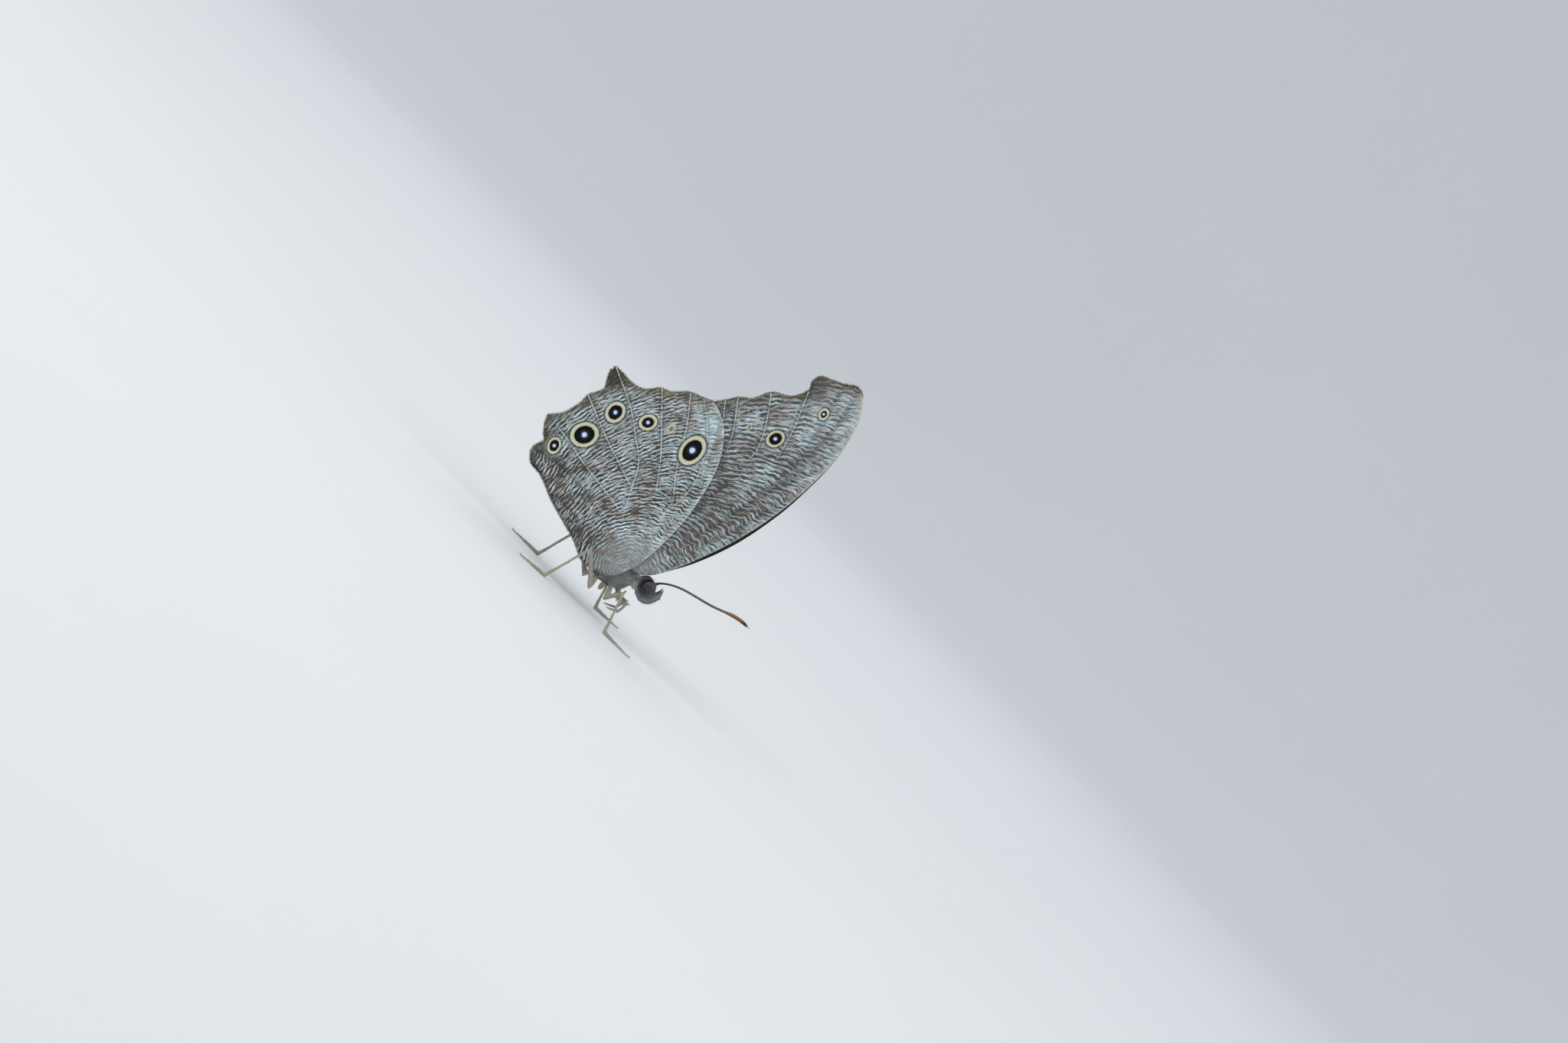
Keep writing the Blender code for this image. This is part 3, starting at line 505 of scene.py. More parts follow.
class Graph:
    """A material's node tree, with a short call for each kind of node that is used here."""

    def __init__(self, name, roughness, specular=0.3):
        self.material = bpy.data.materials.new(name)
        self.material.use_nodes = True
        self.tree = self.material.node_tree
        self.shader = self.tree.nodes["Principled BSDF"]
        self.shader.inputs["Roughness"].default_value = roughness
        self.shader.inputs["Specular IOR Level"].default_value = specular

    def add(self, kind, output, inputs, **settings):
        """One output of a new node, with its settings made and its inputs fed, by name or number."""
        node = self.tree.nodes.new(kind)
        for name, value in settings.items():
            setattr(node, name, value)
        for name, value in inputs.items():
            self.feed(node.inputs[name], value)
        return Term(self, node.outputs[output])

    def feed(self, socket, value):
        if isinstance(value, Term):
            self.tree.links.new(value.socket, socket)
        else:
            socket.default_value = value

    def attribute(self, name, output="Fac"):
        return self.add("ShaderNodeAttribute", output, {}, attribute_name=name)

    def own_place(self):
        """The place on the piece, in its own metres."""
        return self.add("ShaderNodeTexCoord", "Object", {})

    def math(self, operation, *values):
        return self.add("ShaderNodeMath", 0, dict(enumerate(values)), operation=operation)

    def vector(self, operation, *values):
        output = "Value" if operation in ("LENGTH", "DISTANCE", "DOT_PRODUCT") else "Vector"
        return self.add("ShaderNodeVectorMath", output, dict(enumerate(values)), operation=operation)

    def scaled(self, vector, factor):
        return self.add("ShaderNodeVectorMath", 0, {0: vector, "Scale": factor}, operation="SCALE")

    def noise(self, place, scale, detail=2.0, output="Fac"):
        return self.add("ShaderNodeTexNoise", output, {"Vector": place, "Scale": scale, "Detail": detail})

    def loosened(self, place, scale, detail, amount):
        """A place that noise moves a little each way."""
        shake = self.vector("SUBTRACT", self.noise(place, scale, detail, "Color"), (0.5, 0.5, 0.5))
        return self.vector("ADD", place, self.scaled(shake, amount))

    def mix(self, factor, first, second):
        """A colour that goes from the first to the second as the factor goes from 0 to 1."""
        return self.add("ShaderNodeMix", 2, {0: factor, 6: first, 7: second}, data_type="RGBA")

    def layers(self, colour, term, rows):
        """A colour under others, each with the term's values where it begins and is full, and its share."""
        for shade, begins, full, share in rows:
            colour = self.mix(term.step(begins, full) * share, colour, shade)
        return colour

    def bump(self, height, distance):
        bent = self.add("ShaderNodeBump", 0, {"Height": height, "Distance": distance})
        self.feed(self.shader.inputs["Normal"], bent)

    def done(self, colour):
        """The material, once it has its colour."""
        self.feed(self.shader.inputs["Base Color"], colour)
        return self.material


def catmull(points, step, closed=False, corners=()):
    """A smooth line through the points, with a point about every step. It breaks at the corners."""
    count = len(points)
    out = []
    for i in range(count if closed else count - 1):
        p1, p2 = Vector(points[i]), Vector(points[(i + 1) % count])
        before = Vector(points[i - 1]) if closed or i > 0 else 2 * p1 - p2
        after = Vector(points[(i + 2) % count]) if closed or i + 2 < count else 2 * p2 - p1
        if i in corners:
            before = 2 * p1 - p2
        if (i + 1) % count in corners:
            after = 2 * p2 - p1
        steps = max(1, round((p2 - p1).length / step))
        for k in range(steps):
            t = k / steps
            out.append(0.5 * (2 * p1 + (p2 - before) * t + (2 * before - 5 * p1 + 4 * p2 - after) * t**2
                              + (3 * p1 - before - 3 * p2 + after) * t**3))
    if not closed:
        out.append(Vector(points[-1]))
    return out


def way_at(line, i):
    """The direction of a line at one of its points."""
    return (line[min(i + 1, len(line) - 1)] - line[max(0, i - 1)]).normalized()


def side_line(line, offset):
    """A line beside another one, to its left for a positive offset."""
    ways = [way_at(line, i) for i in range(len(line))]
    return [point + Vector((-way.y, way.x)) * offset for point, way in zip(line, ways)]


def array_of(points):
    return np.array([tuple(point) for point in points])


def unit(ways):
    """Many directions, each made one long."""
    return ways / np.linalg.norm(ways, axis=1)[:, None]


def distances(places, line):
    """The distance of each of many places from a line, as an array."""
    nearest = np.full(len(places), 1e9)
    for a, b in zip(line, line[1:]):
        a, step = np.array(a), np.array(b - a)
        t = np.clip((places - a) @ step / max(1e-12, step @ step), 0.0, 1.0)
        nearest = np.minimum(nearest, np.linalg.norm(places - a - t[:, None] * step, axis=1))
    return nearest


def inside(places, loop):
    """Which of many places lie inside a closed loop."""
    crossed = np.zeros(len(places), dtype=bool)
    x, z = places[:, 0], places[:, 1]
    for a, b in zip(loop, loop[1:] + loop[:1]):
        if a.y != b.y:
            between = (a.y > z) != (b.y > z)
            crossed ^= between & (x < a.x + (z - a.y) * (b.x - a.x) / (b.y - a.y))
    return crossed


def out_from_middle(x, z, at_tip, at_root):
    """How far a wing's middle surface stands out at a place: wide over the body, close at the tips."""
    rise = max(0.0, (z - SPREAD_STARTS_ABOVE) / SPREAD_HEIGHT)
    back = max(0.0, (-x - SPREAD_STARTS_BEHIND) / SPREAD_LENGTH)
    return at_tip + (at_root - at_tip) * math.exp(-((rise + back) ** 2))


def streak_turn(x, z, steepens):
    """The direction in which the fine streaks run at a place on the wings, from +X, in radians."""
    reach = math.hypot(x, z - 1.0)
    bearing = (math.degrees(math.atan2(z - 1.0, x)) + 90) % 360 - 90
    slope = 0.85 + (0.07 * max(0.0, reach - 20) if steepens else 0.0)
    tilt = 10 + 1.25 * min(reach, 30 if steepens else 18)
    return math.radians(slope * (bearing - 90) + tilt)


def stretch_of(wing, ends, step=MARGIN_STEP, closed=False):
    """The smooth line of a wing's margin from one of its points to another, or all round."""
    points = wing.margin[ends[0]:ends[1] + 1]
    corners = {i for i, point in enumerate(points) if len(point) == 3}
    return catmull([point[:2] for point in points], step, closed, corners)


def outline_of(wing):
    return stretch_of(wing, (0, len(wing.margin)), closed=True)


def from_lines(places, lines):
    """The distance of each of many places from the nearest of some lines."""
    return np.min([distances(places, line) for line in lines], axis=0)


def veins_of(wing):
    return [catmull(points, VEIN_STEP) for points in wing.veins.values()]


def wing_sheet(wing):
    """A wing's membrane in its own plane: its places, triangles and the values that its pattern needs."""
    loop = outline_of(wing)
    lines = veins_of(wing)
    low, high = array_of(loop).min(axis=0), array_of(loop).max(axis=0)
    row_step = FIELD_STEP * ROW_SHARE
    grid = []
    for row in range(int((high[1] - low[1]) / row_step) + 1):
        shift = (row % 2) * FIELD_STEP / 2
        height = low[1] + row * FIELD_STEP * ROW_SHARE
        grid += [(x + shift, height) for x in np.arange(low[0], high[0], FIELD_STEP)]
    grid = np.array(grid)
    keep = inside(grid, loop) & (distances(grid, loop + loop[:1]) > FIELD_STEP * CLEAR_OF_MARGIN)
    for line in lines:
        keep &= distances(grid, line) > VEIN_FOOT + FIELD_STEP * CLEAR_OF_VEIN
    flat, edges = list(loop), []
    for line in lines:
        for track in (line, side_line(line, VEIN_FOOT), side_line(line, -VEIN_FOOT)):
            start = len(flat)
            flat.extend(track)
            edges.extend((start + i, start + i + 1) for i in range(len(track) - 1))
    flat.extend(Vector(place) for place in grid[keep])
    places, _, faces, _, _, _ = delaunay_2d_cdt(flat, edges, [list(range(len(loop)))], 1, SAME_POINT)
    spots = array_of(places)
    faces = np.array(faces)
    faces = faces[inside(spots[faces].mean(axis=1), loop)]
    used, faces = np.unique(faces, return_inverse=True)
    spots = spots[used]
    vein = from_lines(spots, lines)
    values = {
        "vein": np.clip(1 - vein / VEIN_FOOT, 0, 1),
        "vein_gap": vein,
        "termen": distances(spots, stretch_of(wing, wing.fringed)),
        "costa": distances(spots, stretch_of(wing, wing.costa)),
        "line": from_lines(spots, [catmull(points, FIELD_STEP) for points in wing.lines]),
        "streak_turn": np.array([streak_turn(x, z, wing.steepens) for x, z in spots]),
    }
    return spots, faces.reshape(-1, 3).tolist(), values


def wing_surface(x, z, gap, costa, wing):
    """The height of the membrane's middle over the body's middle plane, with its pleats and its lean."""
    pleat = PLEAT * (math.exp(-(gap / PLEAT_REACH) ** 2) - 0.5)
    lean = 0.1
    if wing.kind == "hindwing":
        lean = -HIND_LEAN * (0.45 + 0.55 * math.exp(-(costa / HIND_LEAN_REACH) ** 2))
    return out_from_middle(x, z, wing.at_tip, wing.at_root) + pleat + lean


def swing_of(wing, side):
    """The turn of one wing in its own plane, which only a left one has."""
    return Matrix.Rotation(wing.left_swing if side > 0 else 0.0, 2)


def on_wing(places, gaps, costas, side, wing):
    """Places of a wing's own plane on the middle surface of one wing, which a left one swings and shifts."""
    turn = swing_of(wing, side)
    start = Vector(wing.pivot)
    hinge = start + Vector((LEFT_WINGS_AHEAD if side > 0 else 0.0, 0.0))
    out = []
    for (x, z), gap, costa in zip(places, gaps, costas):
        px, pz = turn @ (Vector((x, z)) - start) + hinge
        out.append((px, side * wing_surface(px, pz, gap, costa, wing), pz))
    return np.array(out)


def new_piece(name, points, faces, material):
    """A smooth piece of the animal from points in millimetres, riding on the one body."""
    mesh = bpy.data.meshes.new(name)
    mesh.from_pydata([tuple(world(p)) for p in points], [], faces)
    mesh.shade_smooth()
    mesh.materials.append(material)
    made = add_object(name, mesh)
    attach(made, "root")
    return made


def give_values(mesh, name, values, kind="FLOAT"):
    """Stores one value for each of a mesh's points."""
    layer = mesh.attributes.new(name, kind, "POINT")
    field = {"FLOAT": "value", "FLOAT_VECTOR": "vector", "FLOAT_COLOR": "color"}[kind]
    layer.data.foreach_set(field, np.asarray(values, dtype=np.float32).ravel())


def corner_points(mesh):
    """The number of the point at each corner of a mesh's faces."""
    corners = np.empty(len(mesh.loops), dtype=np.int32)
    mesh.loops.foreach_get("vertex_index", corners)
    return corners


def give_unwrap(mesh, places):
    """Stores the unwrap for the baked look, with a place for each corner of the faces."""
    layer = mesh.uv_layers.new(name="OFBake")
    layer.data.foreach_set("uv", places.astype(np.float32).ravel())


def add_wing(label, side, wing, sheet, material):
    """One wing, with both faces of one membrane, in place of its CAD node."""
    spots, faces, values = sheet
    middle = on_wing(spots, values["vein_gap"], values["costa"], side, wing)
    outward = np.array((0.0, side, 0.0))
    outer = middle + outward * (WING_HALF + VEIN_RISE * values["vein"])[:, None]
    inner = middle - outward * WING_HALF
    count = len(outer)
    seen = dict.fromkeys(edge for a, b, c in faces for edge in ((a, b), (b, c), (c, a)))
    rim = [(a, b) for a, b in seen if (b, a) not in seen]
    around = [face for a, b in rim for face in ((b, a, a + count), (b, a + count, b + count))]
    under = [(c + count, b + count, a + count) for a, b, c in faces]
    everything = faces + under + around
    if side > 0:
        everything = [tuple(reversed(face)) for face in everything]
    piece = new_piece(f"{wing.kind}_{label}_dressed", np.vstack((outer, inner)), everything, material)
    place = np.column_stack((spots, np.zeros(count)))
    give_values(piece.data, "wing_place", np.vstack((place, place)), "FLOAT_VECTOR")
    for name, value in values.items():
        give_values(piece.data, name, np.tile(value, 2))
    give_values(piece.data, "inner", np.repeat([0.0, 1.0], count))
    lay_out_wing(piece.data, spots, len(faces))
    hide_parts(f"{wing.kind}_{label}")


def lay_out_wing(mesh, spots, face_count):
    """The wing's own flat unwrap: the outer face on the left half and the inner face on the right."""
    low, high = spots.min(axis=0), spots.max(axis=0)
    flat = (spots - low) / (high - low) * 0.48 + UNWRAP_EDGE
    flat[:, 1] = (spots[:, 1] - low[1]) / (high[1] - low[1]) * 0.98 + UNWRAP_EDGE
    corners = corner_points(mesh)
    places = flat[corners % len(spots)]
    face_of = np.arange(len(corners)) // 3
    on_inner = (face_of >= face_count) & (face_of < 2 * face_count)
    places[on_inner, 0] += 0.5
    give_unwrap(mesh, places)


def spot_field(graph, place, spots):
    """Distances over all eyespots, in widths of the pale ring from the black, and in pupil radii."""
    ring, pupil = None, None
    for centre, half_length, half_width, lean, ring_width, pupil_radius in spots:
        offset = graph.vector("SUBTRACT", place, (*centre, 0.0))
        turned = graph.add("ShaderNodeVectorRotate", 0, {"Vector": offset, "Angle": -math.radians(lean)},
                           rotation_type="Z_AXIS")
        shaped = graph.vector("MULTIPLY", turned, (1 / half_length, 1 / half_width, 0.0))
        size = math.sqrt(half_length * half_width)
        here = (graph.vector("LENGTH", shaped) - 1.0) * (size / ring_width)
        ring = here if ring is None else ring.least(here)
        if pupil_radius:
            seen = graph.vector("LENGTH", offset) / pupil_radius
            pupil = seen if pupil is None else pupil.least(seen)
    return ring, pupil


class WingField:
    """The values at each place on a wing that the parts of its pattern share."""

    def __init__(self, graph, look):
        self.place = graph.attribute("wing_place", "Vector")
        self.reach = graph.vector("DISTANCE", self.place, WING_ROOT)
        self.vein_gap = graph.attribute("vein_gap")
        self.costa = graph.attribute("costa")
        self.patches = graph.noise(self.place, 0.33, 3.0)
        self.blots = graph.noise(self.place, 1.15)
        self.speckle = graph.noise(self.place, 7.5)
        self.grain = graph.noise(self.place, 16.0, 1.0)
        self.shake = graph.noise(self.place, 1.6, 3.0) - 0.5
        self.on_line = (graph.attribute("line") + (self.blots - 0.5) * 1.4).step(0.75, 0.1)
        inwards = graph.vector("SUBTRACT", self.place, look.dark_edge)
        self.from_edge = graph.vector("DOT_PRODUCT", inwards, look.dark_way)
        # Painted shade: near the shade edge the wing is painted greyer, with more dark streaks and darker
        # veins.
        self.dark_side = self.from_edge.step(look.dark_reach, 0.2 * look.dark_reach)
        from_end = graph.vector("DISTANCE", self.place, look.clear_end)
        self.clearing = from_end.step(look.clear_reach, 0.3 * look.clear_reach)


def streaks_of(graph, look, field):
    """A field of fine cross streaks, which are dark where it is above a half or so."""
    loose = graph.loosened(field.place, 1.9, 3.0, 0.45)
    kink = field.vein_gap.step(0.8, 0.0) * 0.3
    loose = graph.vector("ADD", loose, graph.scaled((0.35, 0.94, 0.0), kink))
    weaves = []
    for scale, frequency in look.weaves:
        across = graph.attribute("streak_turn") + math.pi / 2
        inputs = {"Vector": loose, "Scale": scale, "Frequency": frequency, "Anisotropy": 0.9,
                  GABOR_ORIENTATION: across}
        weaves.append(graph.add("ShaderNodeTexGabor", "Value", inputs))
    streak = weaves[0] * 0.62 + weaves[1] * 0.38
    for noise, weight in ((field.speckle, 0.2), (field.patches, 0.26), (field.blots, 0.3)):
        streak = streak + (noise - 0.5) * weight
    by_costa = field.costa.step(4.0, 0.5)
    # The painted shade adds dark streaks near the shade edge.
    for shade, weight in ((field.on_line, 0.05), (field.dark_side, 0.045), (field.clearing, -0.035),
                          (by_costa, -0.03)):
        streak = streak + shade * weight
    return streak


def streaked_scales(graph, look, field):
    """The scales' colours with the streaks over them, and how dark the streaks are."""
    place, patches = field.place, field.patches
    streak = streaks_of(graph, look, field)
    ground = graph.mix(graph.noise(place, 0.9).step(0.35, 0.65), PALE_SCALES, BLUE_SCALES)
    greyish = graph.mix(graph.noise(place, 0.55).step(0.44, 0.58), GREY_SCALES, PINK_SCALES)
    # The painted shade greys the ground near the shade edge.
    ground = graph.mix(patches.step(0.4, 0.62) * 0.34 + field.dark_side * 0.12, ground, greyish)
    ground = graph.mix(streak.step(0.32, 0.47) * 0.75, ground, greyish)
    ink = graph.mix(patches.step(0.42, 0.6), DARK_STREAK, BROWN_STREAK)
    ink = graph.mix(field.on_line * 0.5, ink, LINE_BROWN)
    strength = (field.reach.step(1.0, 6.5) * 0.5 + 0.46) * (1.0 - field.clearing * 0.15)
    dark = streak.step(0.46, 0.585) * (strength * look.ink_share)
    colour = graph.mix(dark, ground, ink)
    base = graph.mix(graph.noise(place, 0.85).step(0.47, 0.6), BASE_PINK, BASE_PALE)
    return graph.mix(field.reach.step(6.0, 2.5) * 0.42, colour, base), dark


def veined(graph, look, field, colour):
    """The scales with painted shadow lines along and beside the veins, darker within the painted shade, and
    how pale the veins are elsewhere.
    """
    # Painted shadow lines along and beside the raised veins, beyond the root.
    beside = field.vein_gap.step(0.5, 0.14) * 0.34 * field.reach.step(7.0, 13.0)
    colour = graph.mix(beside, colour, DARK_STREAK)
    seen = field.reach.step(*look.veins_from_root) * field.costa.step(*look.veins_from_costa)
    on_vein = graph.attribute("vein").step(0.4, 0.85) * seen
    far_side = field.from_edge.step(4.4, 5.0)
    # Within the painted shade the veins themselves are painted dark as shadow lines.
    colour = graph.mix(on_vein * (0.6 - far_side * 0.6), colour, DARK_STREAK)
    broken = graph.noise(field.place, 3.2).step(0.36, 0.6) + 0.2
    return colour, (on_vein * far_side * broken).least(0.8)


def brown_margin(graph, look, field, colour):
    """The scales with a ragged brown outer edge, ochre marks behind it and one darkest place."""
    ragged = graph.attribute("termen") + field.shake * 1.5
    colour = graph.mix(ragged.step(1.2, 0.1) * 0.6, colour, EDGE_BROWN)
    ochre = ragged.step(1.7, 0.6) * graph.noise(field.place, 0.6, 1.0).step(0.5, 0.6)
    colour = graph.mix(ochre * 0.38, colour, OCHRE_SCALES)
    on_tail = (graph.vector("DISTANCE", field.place, look.darkest) + field.shake).step(3.1, 1.4)
    return graph.mix(on_tail * look.darkest_share, colour, TAIL_BROWN)


def pale_costa(graph, field, colour):
    """The scales with a cream band along the outer part of the front edge, and a pale rim all along it."""
    from_costa = field.costa + field.shake * 0.9
    cream = from_costa.step(1.0, 0.1) * field.reach.step(20.0, 30.0)
    colour = graph.mix(cream * 0.45, colour, COSTA_CREAM)
    return graph.mix(from_costa.step(0.34, 0.1) * 0.35, colour, VEIN_SCALES)


def spotted(graph, look, field, colour):
    """The scales with faint rings and ringed eyespots, whose edges break up a little."""
    place = graph.loosened(field.place, 6.0, 1.0, 0.22)
    faint_ring, _ = spot_field(graph, place, look.faint_spots)
    colour = graph.layers(colour, faint_ring, FAINT_SPOT_LAYERS)
    ring, pupil = spot_field(graph, place, look.spots)
    return graph.layers(graph.layers(colour, ring, SPOT_LAYERS), pupil, PUPIL_LAYERS)


def wing_material(look):
    """Pale blue-grey scales with fine dark cross streaks, pale veins, a brown edge and ringed eyespots."""
    graph = Graph(look.name, 0.7, 0.12)
    field = WingField(graph, look)
    colour, dark = streaked_scales(graph, look, field)
    colour, pale_vein = veined(graph, look, field, colour)
    colour = brown_margin(graph, look, field, colour)
    colour = graph.mix(pale_vein, colour, VEIN_SCALES)
    colour = pale_costa(graph, field, colour)
    colour = spotted(graph, look, field, colour)
    colour = graph.scaled(colour, field.grain * (0.4 * look.lightness) + 0.8 * look.lightness)
    upper = graph.mix(graph.noise(field.place, 1.2, 3.0).step(0.3, 0.7), UPPERSIDE, EDGE_BROWN)
    upper = graph.mix(0.2, UPPERSIDE, upper)
    graph.bump(field.grain * 0.6 + field.speckle * 0.4 - dark * 0.5, 0.00006)
    return graph.done(graph.mix(graph.attribute("inner"), colour, upper))


def make_wings():
    for wing, scales in ((HINDWING, wing_material(HIND_LOOK)), (FOREWING, wing_material(FORE_LOOK))):
        sheet = wing_sheet(wing)
        for label, side in SIDES.items():
            add_wing(label, side, wing, sheet, scales)


def band_faces(rings, sides):
    """The faces between rings of points that follow each other."""
    faces = []
    for a in range(0, (rings - 1) * sides, sides):
        b = a + sides
        faces += [(a + k, a + (k + 1) % sides, b + (k + 1) % sides, b + k) for k in range(sides)]
    return faces


def egg(centre, size, pitch, rings, sides):
    """A smooth egg along a pitched axis, as points and faces."""
    way = Vector((math.cos(pitch), 0.0, math.sin(pitch)))
    up = Vector((-math.sin(pitch), 0.0, math.cos(pitch)))
    points = []
    for i in range(rings + 1):
        turn = math.pi * i / rings
        for k in range(sides):
            angle = 2 * math.pi * k / sides
            across = Vector((0.0, math.cos(angle) * size[1] / 2, 0.0)) + up * math.sin(angle) * size[2] / 2
            points.append(Vector(centre) + way * math.cos(turn) * size[0] / 2 + across * math.sin(turn))
    return points, band_faces(rings + 1, sides)


def cleaned(mesh, distance):
    """A mesh opened for editing, with points closer together than the distance joined and faces outwards."""
    work = bmesh.new()
    work.from_mesh(mesh)
    bmesh.ops.remove_doubles(work, verts=work.verts, dist=distance * MM)
    bmesh.ops.recalc_face_normals(work, faces=work.faces)
    return work


def join_same_points(piece, distance):
    work = cleaned(piece.data, distance)
    work.to_mesh(piece.data)
    work.free()


def make_eyes():
    """Smooth, dark, glossy eyes with faint bands and fine facets."""
    graph = Graph("eye_facets", 0.16, 0.5)
    place = graph.scaled(graph.own_place(), 1 / MM)
    colour = graph.mix(graph.noise(place, 2.2).step(0.35, 0.65), EYE_DARK, EYE_PALE)
    facets = graph.add("ShaderNodeTexVoronoi", "Distance", {"Vector": place, "Scale": 26.0},
                       feature="DISTANCE_TO_EDGE")
    graph.bump(facets.step(0.0, 0.3), 0.000004)
    material = graph.done(colour)
    for label, side in SIDES.items():
        centre = (EYE_CENTRE[0], EYE_CENTRE[1] * side, EYE_CENTRE[2])
        points, faces = egg(centre, EYE_SIZE, BODY_PITCH, EYE_RINGS, EYE_SIDES)
        eye = new_piece(f"eye_{label}_dressed", points, faces, material)
        join_same_points(eye, 0.002)
        bake_on_own_shape(eye)
        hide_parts(f"eye_{label}")


def bake_on_own_shape(piece):
    """An unwrap of the piece's own shape, for its baked look."""
    bpy.ops.object.select_all(action="DESELECT")
    piece.select_set(True)
    bpy.context.view_layer.objects.active = piece
    piece.data.uv_layers.new(name="OFBake")
    bpy.ops.object.mode_set(mode="EDIT")
    bpy.ops.mesh.select_all(action="SELECT")
    bpy.ops.uv.smart_project(angle_limit=math.radians(66), island_margin=0.002)
    bpy.ops.object.mode_set(mode="OBJECT")


def antenna_thickness(i, last):
    """The radius at one point of an antenna: thin, swelling to a club, ringed and rounded at its end."""
    club = max(0.0, (i / last - CLUB_STARTS) / (1 - CLUB_STARTS))
    swell = math.sin(math.pi * min(1.0, club**0.8)) ** 0.8
    thick = ANTENNA_RADIUS + (CLUB_RADIUS - ANTENNA_RADIUS) * swell
    past = i + RING_STEPS - last
    if past > 0:
        thick *= math.sqrt(max(0.0, 1 - (past / RING_STEPS) ** 2))
    in_ring = (i % RING_STEPS) / RING_STEPS
    return thick * (0.94 + 0.09 * math.sin(math.pi * in_ring))


def make_antennae():
    """Fine ringed shafts that swell into slender clubs, dark, then orange-brown, with a pale tip."""
    graph = Graph("antenna_rings", 0.5)
    along = graph.attribute("along")
    colour = graph.layers(ANTENNA_DARK, along, ANTENNA_LAYERS)
    joint = graph.attribute("joint") * along.step(0.95, 0.6)
    material = graph.done(graph.mix(joint * 0.6, colour, ANTENNA_JOINT))
    turns = [2 * math.pi * k / ANTENNA_SIDES for k in range(ANTENNA_SIDES)]
    for label, route in ANTENNA.items():
        line = catmull([Vector(place) for place in mirrored(route, SIDES[label])], ANTENNA_RING / RING_STEPS)
        last = len(line) - 1
        points = []
        for i, place in enumerate(line):
            way = way_at(line, i)
            across = way.cross(Vector((0.0, 0.0, 1.0))).normalized()
            up = across.cross(way)
            thick = antenna_thickness(i, last)
            points += [place + (across * math.cos(turn) + up * math.sin(turn)) * thick for turn in turns]
        faces = band_faces(len(line), ANTENNA_SIDES) + [tuple(range(ANTENNA_SIDES))]
        antenna = new_piece(f"antenna_{label}_dressed", points, faces, material)
        steps = np.arange(len(line))
        give_values(antenna.data, "along", np.repeat(steps / last, ANTENNA_SIDES))
        give_values(antenna.data, "joint", np.repeat(steps % RING_STEPS == 0, ANTENNA_SIDES))
        join_same_points(antenna, 0.0005)
        bake_on_own_shape(antenna)
        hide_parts(f"antenna_{label}")


def kind_of(node):
    """The kind of a node, which is its name without its side."""
    return node.split("_")[0]


class Flesh:
    """The CAD nodes that the skin replaces, in millimetres, with a search for the one nearest to a place."""

    def __init__(self):
        self.names = sorted(name for name in frame["nodes"] if kind_of(name) in COAT_DEPTH)
        self.corners, self.normals, self.faces, self.owner = [], [], [], []
        for number, name in enumerate(self.names):
            work = cleaned(frame["nodes"][name].data, 0.0005)
            first = len(self.corners)
            self.corners += [vertex.co / MM - THORAX for vertex in work.verts]
            self.normals += [vertex.normal.copy() for vertex in work.verts]
            self.faces += [tuple(first + vertex.index for vertex in face.verts) for face in work.faces]
            self.owner += [number] * len(work.faces)
            work.free()
        self.tree = BVHTree.FromPolygons(self.corners, self.faces)

    def names_at(self, places):
        """The name of the nearest node for each of many places."""
        return [self.names[self.owner[self.tree.find_nearest(Vector(place))[2]]] for place in places]


def depth_at(name, place):
    """The coat's depth on a node at a place. It is least where a leg comes down to the floor."""
    depth = COAT_DEPTH[kind_of(name)]
    if name.startswith(("midleg", "hindleg")):
        depth *= min(1.0, max(LEG_SHARE_ON_FLOOR, (place[2] + THORAX.z) / 2))
    return depth


def keep_largest(piece):
    """Drops all but the largest connected surface of a piece."""
    work = bmesh.new()
    work.from_mesh(piece.data)
    left, groups = set(work.verts), []
    while left:
        front = [left.pop()]
        group = set(front)
        while front:
            for edge in front.pop().link_edges:
                for vertex in edge.verts:
                    if vertex in left:
                        left.remove(vertex)
                        group.add(vertex)
                        front.append(vertex)
        groups.append(group)
    groups.sort(key=len)
    bmesh.ops.delete(work, geom=[vertex for group in groups[:-1] for vertex in group], context="VERTS")
    work.to_mesh(piece.data)
    work.free()


def apply_modifiers(piece):
    view = bpy.context.evaluated_depsgraph_get()
    shaped = bpy.data.meshes.new_from_object(piece.evaluated_get(view))
    piece.modifiers.clear()
    piece.data = shaped


def moved_in(piece, amounts):
    """Moves a piece's points in along their normals, by one amount for each."""
    places, normals = points_and_normals(piece.data)
    piece.data.vertices.foreach_set("co", (places - normals * amounts[:, None]).ravel())
    piece.data.update()


def remesh(piece, grain, smoothing):
    """Wraps a piece in one closed surface of even faces, and smooths it."""
    wrap = piece.modifiers.new("wrap", "REMESH")
    wrap.mode = "VOXEL"
    wrap.voxel_size = grain
    soft = piece.modifiers.new("soft", "SMOOTH")
    soft.iterations = smoothing
    soft.factor = 0.5
    apply_modifiers(piece)


def smoothed(mesh, values, rounds):
    """One value for each point of a mesh, averaged with its neighbours a number of times."""
    ends = np.empty(len(mesh.edges) * 2, dtype=np.int64)
    mesh.edges.foreach_get("vertices", ends)
    first, second = ends.reshape(-1, 2).T
    count = len(values)
    around = np.bincount(first, minlength=count) + np.bincount(second, minlength=count)
    for _ in range(rounds):
        total = np.bincount(first, values[second], count) + np.bincount(second, values[first], count)
        values = 0.5 * values + 0.5 * total / np.maximum(1, around)
    return values


